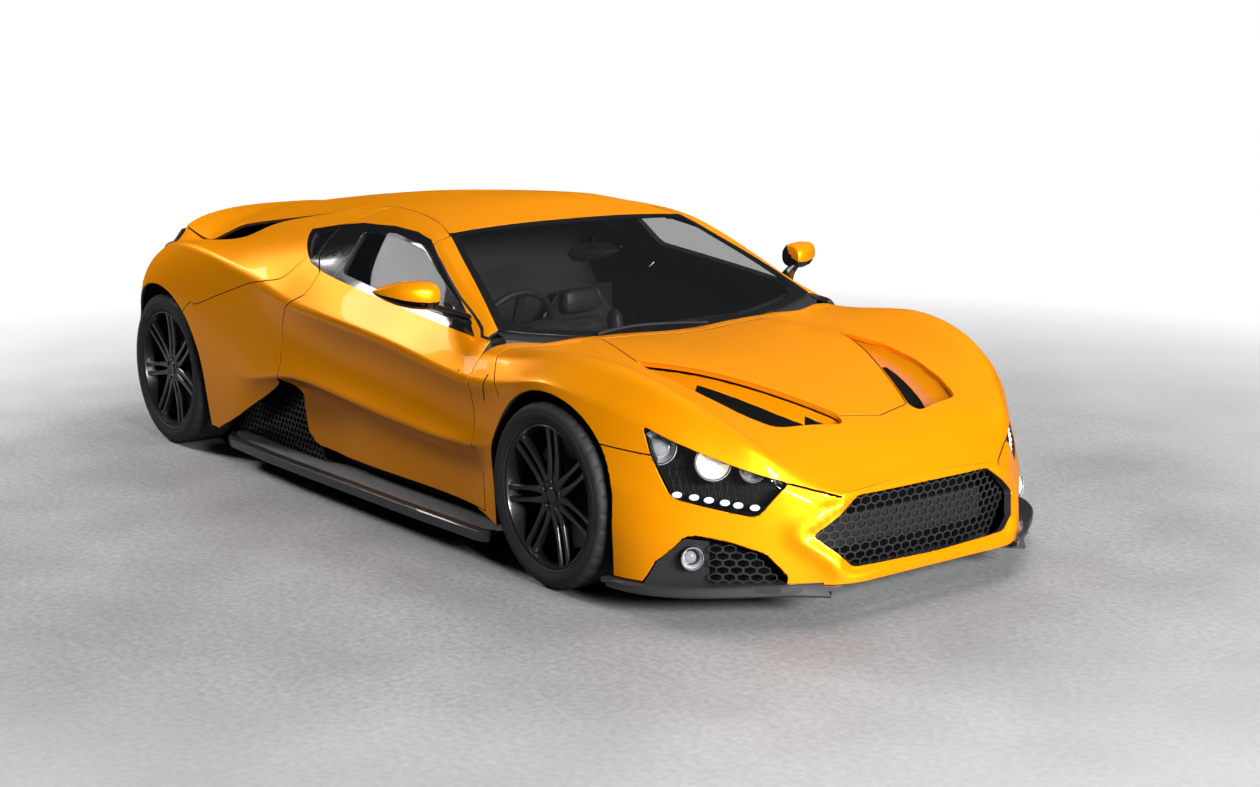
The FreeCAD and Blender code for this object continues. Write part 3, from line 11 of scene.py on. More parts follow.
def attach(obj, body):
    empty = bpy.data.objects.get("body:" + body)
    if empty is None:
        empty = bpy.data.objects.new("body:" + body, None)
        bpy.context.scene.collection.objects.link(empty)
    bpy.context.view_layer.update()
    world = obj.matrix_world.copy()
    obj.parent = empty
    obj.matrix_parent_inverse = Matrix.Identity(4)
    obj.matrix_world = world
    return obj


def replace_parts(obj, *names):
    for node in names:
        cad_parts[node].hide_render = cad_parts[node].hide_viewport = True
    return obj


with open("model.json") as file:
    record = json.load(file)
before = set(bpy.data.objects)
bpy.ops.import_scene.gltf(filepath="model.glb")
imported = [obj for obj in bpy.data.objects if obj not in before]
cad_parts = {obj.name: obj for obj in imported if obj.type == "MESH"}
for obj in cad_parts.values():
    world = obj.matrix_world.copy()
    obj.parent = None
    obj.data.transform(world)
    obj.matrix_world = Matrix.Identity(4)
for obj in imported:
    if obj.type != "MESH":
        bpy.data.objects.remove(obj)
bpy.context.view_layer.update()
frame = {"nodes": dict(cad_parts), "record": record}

# Feature lines of the skin, front to back: place, half width, height.
feature_lines = {
    "sill": [(2.31, .42, .125), (2.1, .71, .13), (1.9, .90, .13), (1.7, .95, .13), (1.4, .955, .14),
             (1.1, .935, .14), (.92, .90, .165), (.44, .865, .172), (-.04, .865, .172),
             (-.52, .875, .185), (-.8, .94, .16), (-1.2, .955, .15), (-1.6, .96, .16),
             (-1.9, .93, .18), (-2.15, .84, .20), (-2.3122, .78, .22)],
    "recess": [(2.31, .42, .16), (2.1, .69, .22), (1.9, .89, .27), (1.7, .965, .33),
               (1.4, .975, .40), (1.1, .95, .35), (.92, .90, .35), (.44, .87, .375),
               (-.04, .87, .393), (-.52, .89, .414), (-.8, .96, .35), (-1.2, .98, .35),
               (-1.6, .99, .35), (-1.9, .955, .33), (-2.15, .86, .32), (-2.3122, .80, .30)],
    "overhang": [(2.305, .41, .22), (2.1, .67, .30), (1.9, .865, .38), (1.7, .96, .47),
                 (1.4, .985, .60), (1.1, .955, .48), (.92, .95, .433), (.55, .97, .432),
                 (.07, .975, .465), (-.22, .98, .487), (-.455, .985, .487), (-.7, .985, .45),
                 (-.95, .985, .45), (-1.2, .995, .52), (-1.6, 1.015, .64), (-1.9, .985, .58),
                 (-2.15, .87, .50), (-2.3122, .81, .45)],
    "waist": [(2.29, .40, .29), (2.1, .65, .39), (1.9, .835, .48), (1.7, .93, .58), (1.4, .97, .69),
              (1.1, .94, .60), (.92, .91, .54), (.5, .90, .57), (0, .90, .61), (-.45, .93, .66),
              (-.8, .955, .70), (-1.1, .985, .76), (-1.3, 1.005, .80), (-1.6, 1.0205, .83),
              (-1.9, .975, .80), (-2.15, .84, .73), (-2.3122, .78, .68)],
    "shoulder": [(2.275, .385, .35), (2.2, .50, .41), (2.1, .625, .475), (2.0, .715, .54),
                 (1.9, .79, .60), (1.75, .87, .665), (1.6, .92, .705), (1.4, .95, .735),
                 (1.2, .95, .705), (.94, .95, .665), (.6, .965, .702), (.3, .97, .74),
                 (0, .975, .765), (-.3, .97, .785), (-.5, .96, .805), (-.72, .95, .85),
                 (-1.0, .945, .905), (-1.26, .945, .95), (-1.5, .94, .962), (-1.75, .895, .925),
                 (-1.95, .84, .87), (-2.15, .78, .81), (-2.3, .73, .765)],
    "crest": [(2.262, .376, .415), (2.17, .50, .47), (2.1, .58, .555), (2.0, .645, .635),
              (1.9, .70, .70), (1.7, .76, .79), (1.45, .80, .83), (1.2, .83, .815), (.95, .86, .79),
              (.52, .87, .834), (.05, .87, .882), (-.33, .85, .934), (-.6, .83, .975),
              (-1.0, .82, .98), (-1.4, .81, .965), (-1.8, .77, .94), (-2.05, .70, .905),
              (-2.29, .60, .875)],
    "cant": [(.86, .82, .812), (.8, .79, .845), (.6, .76, .935), (.4, .72, 1.035), (.24, .69, 1.095),
             (0, .68, 1.13), (-.3, .68, 1.12), (-.6, .70, 1.075), (-.8, .695, 1.055),
             (-1.0, .69, 1.03), (-1.3, .69, .985), (-1.6, .67, .93), (-1.9, .645, .893),
             (-2.1, .615, .897), (-2.27, .575, .912)],
    "edge": [(.225, .584, 1.118), (.05, .53, 1.15), (-.15, .50, 1.17), (-.25, .49, 1.176),
             (-.5, .50, 1.165), (-.7, .55, 1.135), (-1.1, .58, 1.078), (-1.4, .60, 1.037),
             (-1.6, .602, 1.0), (-1.7, .601, .971), (-1.8, .60, .941), (-1.9, .598, .915),
             (-2.0, .59, .912), (-2.1, .58, .924), (-2.28, .555, .948)],
    "rail": [(.85, .775, .826), (.6, .70, .955), (.4, .64, 1.045), (.225, .584, 1.118),
             (.05, .53, 1.15), (-.15, .50, 1.17), (-.25, .49, 1.176), (-.5, .50, 1.165),
             (-.7, .55, 1.135), (-1.0, .578, 1.087), (-1.2, .592, 1.05), (-1.4, .60, .992),
             (-1.5, .60, .958), (-1.6, .598, .934), (-1.8, .596, .908), (-2.0, .591, .905),
             (-2.1, .58, .919), (-2.28, .555, .944)],
    "valley": [(2.262, .33, .418), (2.1, .50, .53), (1.9, .54, .62), (1.7, .56, .675),
               (1.45, .57, .715), (1.2, .57, .742), (.92, .57, .775)],
    "ridge": [(2.268, .18, .43), (2.1, .32, .57), (1.9, .34, .655), (1.7, .35, .71),
              (1.4, .36, .762), (1.2, .36, .778), (.96, .34, .78)],
    "bonnet_line": [(2.274, 0, .431), (2.18, 0, .525), (2.05, 0, .60), (1.85, 0, .665), (1.6, 0, .715),
                    (1.35, 0, .745), (1.15, 0, .757), (1.0, 0, .765)],
    "screen_mid": [(1.0, .40, .765), (.80, .385, .866), (.55, .36, .992), (.24, .30, 1.14)],
    "screen_line": [(1.0, 0, .765), (.80, 0, .86), (.55, 0, .985), (.235, 0, 1.139)],
    "roof_line": [(.235, 0, 1.139), (0, 0, 1.172), (-.25, 0, 1.198), (-.5, 0, 1.195),
                  (-.9, 0, 1.175), (-1.3, 0, 1.135), (-1.7, 0, 1.085), (-2.05, 0, 1.045),
                  (-2.30, 0, 1.03)],
    "roof_mid": [(.225, .30, 1.14), (-.15, .28, 1.192), (-.5, .29, 1.198), (-.9, .32, 1.175),
                 (-1.3, .34, 1.135), (-1.7, .37, 1.085), (-2.05, .40, 1.045), (-2.29, .40, 1.03)],
}

door_outline = [(.93, .178), (.915, .42), (.90, .60), (.905, .80), (.84, .805), (.80, .828),
               (.60, .915), (.40, 1.015), (.26, 1.078), (.19, 1.26), (-.60, 1.26), (-.60, 1.13),
               (-.47, 1.09), (-.44, .99), (-.352, .927), (-.348, .87), (-.362, .835), (-.424, .806),
               (-.475, .775), (-.508, .735), (-.526, .68), (-.522, .60), (-.515, .53),
               (-.53, .47), (-.50, .445), (-.478, .40), (-.484, .34), (-.472, .24), (-.43, .20),
               (-.36, .178)]

window_outline = [(.76, .836), (.60, .905), (.40, .995), (.24, 1.062), (.0, 1.098), (-.25, 1.090),
                 (-.20, .94), (.05, .912), (.52, .862)]

quarter_window_outline = [(-.50, 1.078), (-.63, 1.054), (-.53, .995), (-.475, .97)]

quarter_outline = [(-.30, 1.26), (-.30, 1.135), (-.482, 1.09), (-.452, .99), (-.364, .932),
                   (-.30, .90), (-.30, .50), (-.535, .475), (-.575, .440), (-.64, .405),
                   (-.74, .350), (-.935, .247), (-1.041, .200), (-1.15, .158), (-1.20, .12),
                   (-1.25, .05), (-2.6, .05), (-2.6, 1.4)]

rail_cut_outline = [(-.385, .40), (-.385, .49), (-.52, .74), (.40, .74), (.40, .40)]

pillar_outline = [(1.1, .81), (.905, .80), (.84, .805), (.80, .828), (.60, .915), (.40, 1.015),
                 (.26, 1.078), (.19, 1.26), (.60, 1.26), (1.1, 1.0)]

bumper_outline = [(1.50, .575), (1.622, .578), (1.686, .564), (1.848, .542), (2.0, .50),
                 (2.17, .453), (2.213, .429), (2.264, .405), (2.45, .36), (2.45, -.05),
                 (1.50, -.05)]

lamp_outline = [(1.806, .634), (1.850, .545), (1.933, .408), (2.127, .346), (2.172, .456)]

bonnet_outline = [(1.06, -.01), (1.04, .30), (1.02, .42), (1.33, .50), (2.02, .16), (2.055, -.01)]

vent_outline = [(1.33, .507), (2.03, .165), (2.066, .185), (2.015, .405), (1.985, .445),
                (1.88, .49), (1.72, .525), (1.52, .54)]

grille_outline = [(-.01, .402), (.312, .402), (.482, .286), (.365, .176), (-.01, .168)]

fog_outline = [(.575, .09), (.560, .155), (.611, .228), (.698, .267), (.78, .289),
               (.812, .285), (.884, .200), (.925, .09)]

rear_seam = [(-1.40, .64), (-1.319, .705), (-1.252, .708), (-1.062, .769), (-.834, .837),
             (-.706, .862), (-.60, .882), (-.555, .925), (-.52, .975)]

fender_seam = [(.905, .80), (.955, .795), (.985, .77), (1.03, .72), (1.075, .68), (1.10, .636)]

gap = .005
wall = .014
edge_radius = .0016
front_axle = 1.4025
rear_axle = -1.6525
rail_level = 1.09
seam_width = .0035

# How much of each neighbouring strip a feature line's rounding takes.
softness = {"sill": 0, "recess": .30, "overhang": .12, "waist": .82, "shoulder": .16, "crest": .40,
            "cant": .42, "rail": 0, "valley": .48, "ridge": .45, "bonnet_line": .5, "edge": 0,
            "roof_mid": .85, "roof_line": .15, "screen_mid": .9, "screen_line": .1}

side_names = ["sill", "recess", "overhang", "waist", "shoulder", "crest"]
bonnet_names = ["crest", "valley", "ridge", "bonnet_line"]
front_names = side_names + bonnet_names[1:]
roof_names = ["edge", "roof_mid", "roof_line"]
screen_names = ["rail", "screen_mid", "screen_line"]


class Line:
    """A natural cubic spline through the rows of one feature line."""

    def __init__(self, rows):
        table = np.array(sorted(rows), float)
        self.x = table[:, 0]
        self.v = table[:, 1:]
        count = len(self.x)
        step = np.diff(self.x)
        system = np.eye(count)
        right = np.zeros((count, 2))
        for i in range(1, count - 1):
            system[i, i - 1:i + 2] = step[i - 1], 2 * (step[i - 1] + step[i]), step[i]
            right[i] = 6 * ((self.v[i + 1] - self.v[i]) / step[i]
                            - (self.v[i] - self.v[i - 1]) / step[i - 1])
        self.curve = np.linalg.solve(system, right)

    def at(self, place):
        place = np.clip(place, self.x[0], self.x[-1])
        i = np.clip(np.searchsorted(self.x, place) - 1, 0, len(self.x) - 2)
        step = self.x[i + 1] - self.x[i]
        a = ((self.x[i + 1] - place) / step)[:, None]
        b = 1 - a
        flex = (a ** 3 - a) * self.curve[i] + (b ** 3 - b) * self.curve[i + 1]
        value = a * self.v[i] + b * self.v[i + 1] + flex * (step ** 2)[:, None] / 6
        return np.column_stack([place, value])


lines = {name: Line(rows) for name, rows in feature_lines.items()}


def surface(names, start, end, pitch=.018, trim=0.0, sink=0.0):
    """Points and normals of the skin between feature lines, with soft creases.

    Rows run from the first line up to the last, columns from start to end."""
    count = int(abs(end - start) / pitch) + 2
    share = np.linspace(0, 1, count)
    control = []
    for name in names:
        line = lines[name]
        first = min(start, line.x[-1])
        last = max(end, line.x[0])
        control.append(line.at(first + (last - first) * share))
    if trim:
        back = control[-2] - control[-1]
        control[-1] = control[-1] + back * trim / np.linalg.norm(back, axis=1)[:, None]
    rows = [control[0]]

    def straight(a, b):
        pieces = int(np.linalg.norm(b - a, axis=1).mean() / .035) + 1
        for k in range(1, pieces + 1):
            rows.append(a + (b - a) * k / pieces)

    here = control[0]
    for k in range(1, len(names)):
        soft = softness[names[k]]
        corner = control[k]
        if soft and k < len(names) - 1:
            a = corner + (control[k - 1] - corner) * soft
            b = corner + (control[k + 1] - corner) * soft
            straight(here, a)
            for t in np.linspace(0, 1, 8 if soft < .5 else 14)[1:]:
                rows.append((1 - t) ** 2 * a + 2 * t * (1 - t) * corner + t * t * b)
            here = b
        elif soft and abs(corner[:, 1]).max() < 1e-6:
            a = corner + (control[k - 1] - corner) * soft
            straight(here, a)
            for t in np.linspace(0, .5, 5)[1:]:
                flip = a * np.array([1, -1, 1])
                rows.append((1 - t) ** 2 * a + 2 * t * (1 - t) * corner + t * t * flip)
        else:
            straight(here, corner)
            here = corner
    grid = np.array(rows)
    along = np.gradient(grid, axis=1)
    across = np.gradient(grid, axis=0)
    if abs(grid[-1, :, 1]).max() < 1e-6:
        across[-1] = np.array([0, -1, 0])
        along[-1, :, 1] = 0
    normal = np.cross(along, across)
    normal /= np.linalg.norm(normal, axis=2)[:, :, None]
    return grid - normal * sink, normal


def sheet_mesh(grid, normal):
    """A mesh of a grid of points that remembers its smooth normals while it is cut."""
    bm = bmesh.new()
    layer = bm.verts.layers.float_vector.new("smooth")
    rows, columns = grid.shape[:2]
    verts = []
    for r in range(rows):
        line = []
        for c in range(columns):
            vert = bm.verts.new(grid[r, c])
            vert[layer] = normal[r, c]
            line.append(vert)
        verts.append(line)
    for r in range(rows - 1):
        for c in range(columns - 1):
            bm.faces.new((verts[r][c], verts[r][c + 1], verts[r + 1][c + 1], verts[r + 1][c]))
    return bm


views = {"side": (0, 2), "top": (0, 1), "front": (1, 2)}
tiny = 1e-5


def sides(outline):
    """Both ends of each side of an outline."""
    return zip(outline, outline[1:] + outline[:1])


def in_outline(outline, a, b):
    inside = False
    for (a0, b0), (a1, b1) in sides(outline):
        if (b0 > b) != (b1 > b) and a < (a1 - a0) * (b - b0) / (b1 - b0) + a0:
            inside = not inside
    return inside


def score(bm, outline, view):
    """Cuts the mesh along an outline seen from one side, near the outline only."""
    u, v = views[view]
    reach = .04
    for (a0, b0), (a1, b1) in sides(outline):
        low = (min(a0, a1) - reach, min(b0, b1) - reach)
        top = (max(a0, a1) + reach, max(b0, b1) + reach)
        faces = []
        for face in bm.faces:
            co = face.verts[0].co
            if low[0] <= co[u] <= top[0] and low[1] <= co[v] <= top[1]:
                faces.append(face)
        if not faces:
            continue
        point = [0.0, 0.0, 0.0]
        square = [0.0, 0.0, 0.0]
        point[u], point[v] = a0, b0
        square[u], square[v] = b0 - b1, a1 - a0
        geom = set(faces)
        for face in faces:
            geom.update(face.edges)
            geom.update(face.verts)
        bmesh.ops.bisect_plane(bm, geom=list(geom), dist=tiny, plane_co=point, plane_no=square)


def carve(bm, outline, view, keep_inside=False, where=None):
    """Removes what lies inside an outline, or outside it, seen from one side."""
    u, v = views[view]
    score(bm, outline, view)
    gone = []
    for face in bm.faces:
        centre = face.calc_center_median()
        inside = in_outline(outline, centre[u], centre[v])
        if inside != keep_inside and (where is None or where(centre)):
            gone.append(face)
    bmesh.ops.delete(bm, geom=gone, context="FACES")


def level_cut(bm, height):
    """Cuts the mesh across at one height."""
    geom = bm.verts[:] + bm.edges[:] + bm.faces[:]
    bmesh.ops.bisect_plane(bm, geom=geom, dist=tiny, plane_co=(0, 0, height), plane_no=(0, 0, 1))


def grown(outline, amount):
    """The outline moved outwards by amount on all sides."""
    area = sum(a0 * b1 - a1 * b0 for (a0, b0), (a1, b1) in sides(outline))
    turn = 1 if area > 0 else -1
    result = []
    count = len(outline)
    for i in range(count):
        before, here, after = outline[i - 1], outline[i], outline[(i + 1) % count]
        normals = []
        for (a0, b0), (a1, b1) in ((before, here), (here, after)):
            length = math.hypot(a1 - a0, b1 - b0)
            normals.append(((b1 - b0) / length * turn, (a0 - a1) / length * turn))
        (na, nb), (ma, mb) = normals
        scale = amount / max(1 + na * ma + nb * mb, .35)
        result.append((here[0] + (na + ma) * scale, here[1] + (nb + mb) * scale))
    return result


def flowing(points, steps=4):
    """More points along a smooth curve through the given ones."""
    rows = [points[0]] + list(points) + [points[-1]]
    result = []
    for a, b, c, d in zip(rows, rows[1:], rows[2:], rows[3:]):
        for k in range(steps):
            t = k / steps
            result.append(tuple(.5 * (2 * b[i] + (c[i] - a[i]) * t
                                      + (2 * a[i] - 5 * b[i] + 4 * c[i] - d[i]) * t * t
                                      + (3 * b[i] - a[i] - 3 * c[i] + d[i]) * t ** 3)
                                for i in (0, 1)))
    return result + [tuple(points[-1])]


def ribbon(points, width):
    """A narrow closed outline along a line."""
    left = []
    right = []
    for k, (a, b) in enumerate(points):
        before = points[max(k - 1, 0)]
        after = points[min(k + 1, len(points) - 1)]
        length = math.hypot(after[0] - before[0], after[1] - before[1])
        na = (before[1] - after[1]) / length * width / 2
        nb = (after[0] - before[0]) / length * width / 2
        left.append((a + na, b + nb))
        right.append((a - na, b - nb))
    return left + right[::-1]


def rounded(outline, radius):
    """The outline with its corners rounded, less where the sides are short."""
    result = []
    count = len(outline)
    for i in range(count):
        before, here, after = outline[i - 1], outline[i], outline[(i + 1) % count]
        ends = []
        for other in (before, after):
            length = math.hypot(other[0] - here[0], other[1] - here[1])
            share = min(radius / length, .45)
            ends.append((here[0] + (other[0] - here[0]) * share,
                         here[1] + (other[1] - here[1]) * share))
        for t in (0, .25, .5, .75, 1):
            result.append(tuple((1 - t) ** 2 * ends[0][k] + 2 * t * (1 - t) * here[k]
                                + t * t * ends[1][k] for k in (0, 1)))
    return result


def arch_outline(x, z, radius):
    """A wheel opening seen from the side: a round top on straight legs."""
    steps = 40
    points = [(x + radius * math.cos(math.pi * i / steps), z + radius * math.sin(math.pi * i / steps))
              for i in range(steps + 1)]
    return [(x + radius, -.1)] + points + [(x - radius, -.1)]


def linked(name, data):
    """A new object in the scene."""
    obj = bpy.data.objects.new(name, data)
    bpy.context.scene.collection.objects.link(obj)
    return obj


def make_object(name, mesh, body, slot, *materials):
    """A piece that rides on a body, with the materials of its faces; the slot is not used."""
    obj = linked(name, mesh)
    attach(obj, body)
    for material in materials:
        mesh.materials.append(material)
    return obj


def drop_lone(bm):
    """Takes out the points that no face holds."""
    lone = [vert for vert in bm.verts if not vert.link_faces]
    bmesh.ops.delete(bm, geom=lone, context="VERTS")


def thick(bm, depth=wall, radius=edge_radius, flank="left", both=False, bright=None):
    """Gives a cut sheet its rounded edges, walls and inner face; returns a mesh with smooth normals.

    The right flank's is turned over to that side; both joins it to its mirror image. The walls
    are dark like the inside, but for those at points that bright accepts."""
    layer = bm.verts.layers.float_vector["smooth"]
    bmesh.ops.dissolve_degenerate(bm, dist=2e-5, edges=bm.edges[:])
    drop_lone(bm)
    points = [vert.co.copy() for vert in bm.verts]
    normals = [Vector(vert[layer]).normalized() for vert in bm.verts]
    index = {vert: i for i, vert in enumerate(bm.verts)}
    faces = [[index[vert] for vert in face.verts] for face in bm.faces]
    rim = {}
    rim_edges = []
    for face in bm.faces:
        centre = face.calc_center_median()
        for loop in face.loops:
            edge = loop.edge
            if len(edge.link_faces) != 1:
                continue
            a, b = loop.vert, loop.link_loop_next.vert
            if both and abs(a.co.y) < tiny and abs(b.co.y) < tiny:
                continue
            i, j = index[a], index[b]
            rim_edges.append((i, j))
            out = (b.co - a.co).cross(normals[i] + normals[j])
            if out.dot((a.co + b.co) / 2 - centre) < 0:
                out.negate()
            if out.length:
                out.normalize()
            for k in (i, j):
                rim[k] = rim.get(k, Vector()) + out
    outer = list(points)
    walls = {}
    new_points = []
    new_normals = []

    def add(point, normal):
        new_points.append(point)
        new_normals.append(normal)
        return len(points) + len(new_points) - 1

    for k, out in rim.items():
        normal = normals[k]
        out = out - normal * out.dot(normal)
        out = out.normalized() if out.length > 1e-9 else normal.orthogonal()
        if both and abs(points[k].y) < tiny:
            out.y = 0
        outer[k] = points[k] - out * radius
        blend = (normal + out).normalized()
        middle = points[k] - out * radius * .29 - normal * radius * .29
        walls[k] = [add(middle, blend), add(points[k] - normal * radius, out),
                    add(points[k] - normal * depth, out)]
    inner = [add(point - normal * depth, -normal) for point, normal in zip(points, normals)]
    all_points = outer + new_points
    all_normals = normals + new_normals
    all_faces = list(faces)
    kinds = [0] * len(faces)
    for i, j in rim_edges:
        chain_i = [i] + walls[i] + [inner[i]]
        chain_j = [j] + walls[j] + [inner[j]]
        lit = bright is not None and bright(points[i])
        for s in range(4):
            all_faces.append([chain_j[s], chain_i[s], chain_i[s + 1], chain_j[s + 1]])
            kinds.append(1 if s > 1 and not lit else 0)
    kinds += [1] * len(faces)
    for face in faces:
        all_faces.append([inner[k] for k in reversed(face)])
    points_array = np.array([p[:] for p in all_points])
    normals_array = np.array([n[:] for n in all_normals])
    flip = np.array([1, -1, 1])
    if both:
        count = len(points_array)
        points_array = np.vstack([points_array, points_array * flip])
        normals_array = np.vstack([normals_array, normals_array * flip])
        all_faces = all_faces + [[k + count for k in reversed(face)] for face in all_faces]
        kinds = kinds * 2
    elif flank == "right":
        points_array = points_array * flip
        normals_array = normals_array * flip
        all_faces = [list(reversed(face)) for face in all_faces]
    mesh = bpy.data.meshes.new("panel")
    mesh.from_pydata([tuple(p) for p in points_array], [], all_faces)
    mesh.polygons.foreach_set("material_index", kinds)
    mesh.validate(clean_customdata=False)
    mesh.shade_smooth()
    mesh.normals_split_custom_set_from_vertices([tuple(n) for n in normals_array])
    bm.free()
    return mesh


# Materials: every one varies a little over the surface.
def feed(tree, node, inputs):
    """Sets inputs of a node, each to a value or to what another node puts out."""
    for key, value in inputs.items():
        if isinstance(value, bpy.types.NodeSocket):
            tree.links.new(value, node.inputs[key])
        else:
            node.inputs[key].default_value = value


def add_node(tree, kind, inputs=None, **settings):
    node = tree.nodes.new("ShaderNode" + kind)
    for key, value in settings.items():
        setattr(node, key, value)
    feed(tree, node, inputs or {})
    return node


def new_finish(name, color, roughness, **inputs):
    mat = bpy.data.materials.new(name)
    mat.use_nodes = True
    tree = mat.node_tree
    bsdf = tree.nodes["Principled BSDF"]
    feed(tree, bsdf, {"Base Color": (*color, 1), "Roughness": roughness})
    feed(tree, bsdf, {key.replace("_", " "): value for key, value in inputs.items()})
    return mat, tree, bsdf


def coordinates(tree, scale=(1, 1, 1), turn=(0, 0, 0)):
    place = add_node(tree, "TexCoord").outputs["Object"]
    mapping = add_node(tree, "Mapping", {"Scale": scale, "Rotation": turn, "Vector": place})
    return mapping.outputs["Vector"]


def noise(tree, scale, detail=2.0):
    node = add_node(tree, "TexNoise", {"Scale": scale, "Detail": detail,
                                       "Vector": coordinates(tree)})
    return node.outputs["Fac"]


def cells(tree, scale, feature="F1", randomness=1.0):
    """How far each place is from its cell's middle, or from the cell's edge."""
    node = add_node(tree, "TexVoronoi", {"Scale": scale, "Randomness": randomness,
                                         "Vector": coordinates(tree)}, feature=feature)
    return node.outputs["Distance"]


def ramp(tree, source, low, high, start=.3, stop=.7):
    node = add_node(tree, "MapRange", {"From Min": start, "From Max": stop, "To Min": low,
                                       "To Max": high, "Value": source})
    return node.outputs["Result"]


def mixed(tree, factor, a, b, blend="MIX"):
    """Two colours mixed; each is three numbers or what a node puts out."""
    a, b = [(*c, 1) if isinstance(c, tuple) else c for c in (a, b)]
    node = add_node(tree, "Mix", {"A": a, "B": b, "Factor": factor}, data_type="RGBA",
                    blend_type=blend)
    return node.outputs["Result"]


def bumped(tree, bsdf, height, strength, distance):
    bump = add_node(tree, "Bump", {"Strength": strength, "Distance": distance, "Height": height})
    feed(tree, bsdf, {"Normal": bump.outputs["Normal"]})


def speckled(name, color, other, roughness, rough_to, scale, bump=0.0, **inputs):
    """A finish whose colour, gloss and relief vary with a fine noise."""
    mat, tree, bsdf = new_finish(name, color, roughness, **inputs)
    grain = noise(tree, scale)
    feed(tree, bsdf, {"Base Color": mixed(tree, grain, color, other),
                      "Roughness": ramp(tree, grain, roughness, rough_to)})
    if bump:
        bumped(tree, bsdf, grain, .5, bump)
    return mat


def tinted(name, color, first, second, roughness, scale, target="Base Color", **inputs):
    """A finish of which one colour varies with a soft noise."""
    mat, tree, bsdf = new_finish(name, color, roughness, **inputs)
    feed(tree, bsdf, {target: mixed(tree, noise(tree, scale, 1), first, second)})
    return mat


def make_paint():
    mat, tree, bsdf = new_finish("paint", (.92, .29, .001), .36, Coat_Weight=.25,
                                 Coat_Roughness=.03, Coat_IOR=1.4, Metallic=.5,
                                 Specular_IOR_Level=.1)
    flake = cells(tree, 1400)
    cloud = noise(tree, 3, 1)
    orange_peel = noise(tree, 260, 1)
    feed(tree, bsdf, {"Base Color": mixed(tree, flake, (.95, .325, .001), (.90, .285, .001)),
                      "Roughness": ramp(tree, cloud, .34, .39)})
    bumped(tree, bsdf, orange_peel, .04, .0003)
    return mat


def make_carbon():
    """Woven squares of threads that lie across each other, under clear lacquer."""
    mat, tree, bsdf = new_finish("carbon", (.02, .02, .022), .38, Coat_Weight=.8,
                                 Coat_Roughness=.06)
    weave = coordinates(tree, turn=(.3, .4, .78))
    squares = add_node(tree, "TexChecker", {"Scale": 260, "Color1": (.012, .012, .013, 1),
                                            "Color2": (.035, .035, .038, 1), "Vector": weave})
    threads = add_node(tree, "TexWave", {"Scale": 420, "Vector": weave})
    feed(tree, bsdf, {"Base Color": squares.outputs["Color"],
                      "Roughness": ramp(tree, squares.outputs["Fac"], .30, .5, 0, 1)})
    bumped(tree, bsdf, threads.outputs["Fac"], .12, .0003)
    return mat


def make_glass(name, tint, cover):
    """Thin glass: it covers a share of what is behind it and mirrors a little."""
    return tinted(name, tint, tint, tuple(c * .9 for c in tint), 0, 2.5, IOR=1.5, Alpha=cover)


def make_leather():
    mat, tree, bsdf = new_finish("leather", (.022, .021, .022), .5)
    grain = cells(tree, 420)
    cloud = noise(tree, 9)
    feed(tree, bsdf, {"Base Color": mixed(tree, cloud, (.018, .017, .018), (.032, .03, .031)),
                      "Roughness": ramp(tree, grain, .42, .6, 0, 1)})
    bumped(tree, bsdf, grain, .35, .0006)
    return mat


def make_disc():
    """Cast iron turned in fine rings round the axle."""
    mat, tree, bsdf = new_finish("disc", (.16, .155, .15), .34, Metallic=1.0)
    rings = add_node(tree, "TexNoise", {"Scale": 60, "Vector": coordinates(tree, (1, .05, 1))})
    rings = rings.outputs["Fac"]
    feed(tree, bsdf, {"Base Color": mixed(tree, rings, (.10, .098, .095), (.24, .235, .23)),
                      "Roughness": ramp(tree, rings, .28, .42)})
    return mat


def make_tyre():
    mat, tree, bsdf = new_finish("tyre", (.014, .014, .015), .72)
    dust = noise(tree, 14, 3)
    feed(tree, bsdf, {"Base Color": mixed(tree, dust, (.010, .010, .011), (.024, .023, .023)),
                      "Roughness": ramp(tree, dust, .62, .82)})
    bumped(tree, bsdf, noise(tree, 600, 1), .25, .0004)
    return mat


def make_hex_black():
    """Black plastic with a fine honeycomb relief."""
    mat, tree, bsdf = new_finish("hex_black", (.010, .010, .011), .5, Specular_IOR_Level=.12)
    edge = ramp(tree, cells(tree, 62, "DISTANCE_TO_EDGE", .25), 0, 1, .02, .09)
    feed(tree, bsdf, {"Base Color": mixed(tree, edge, (.012, .012, .013), (.003, .003, .003))})
    bumped(tree, bsdf, edge, .5, .002)
    return mat


finish = {
    "paint": make_paint(),
    "glass": make_glass("glass", (.012, .013, .014), .24),
    "tyre": make_tyre(),
    "rim": speckled("rim", (.012, .012, .013), (.016, .016, .017), .26, .34, 900, 0,
                    Coat_Weight=.35, Coat_Roughness=.12),
    "disc": make_disc(),
    "metal": speckled("metal", (.20, .20, .205), (.28, .28, .285), .42, .58, 160, .0004,
                      Metallic=.9),
    "structure": speckled("structure", (.022, .022, .024), (.035, .035, .037), .45, .62, 90, .0003,
                          Metallic=.4),
    "carbon": make_carbon(),
    "black_plastic": speckled("black_plastic", (.009, .009, .010), (.017, .017, .018), .5, .68,
                              700, .0004),
    "lamp": make_glass("lamp", (.02, .021, .022), .10),
    "leather": make_leather(),
}
black_gloss = speckled("black_gloss", (.006, .006, .007), (.009, .009, .010), .06, .10, 40,
                       Coat_Weight=.6, Coat_Roughness=.03)
lining = speckled("lining", (.010, .010, .011), (.016, .016, .017), .7, .85, 120)
# Body paint darkened as painted shade, for the deep floor of the trays beside the bonnet.
paint_in_painted_shade = tinted("paint_in_painted_shade", (.45, .12, .001), (.42, .11, .001), (.50, .135, .001), .5, 5)
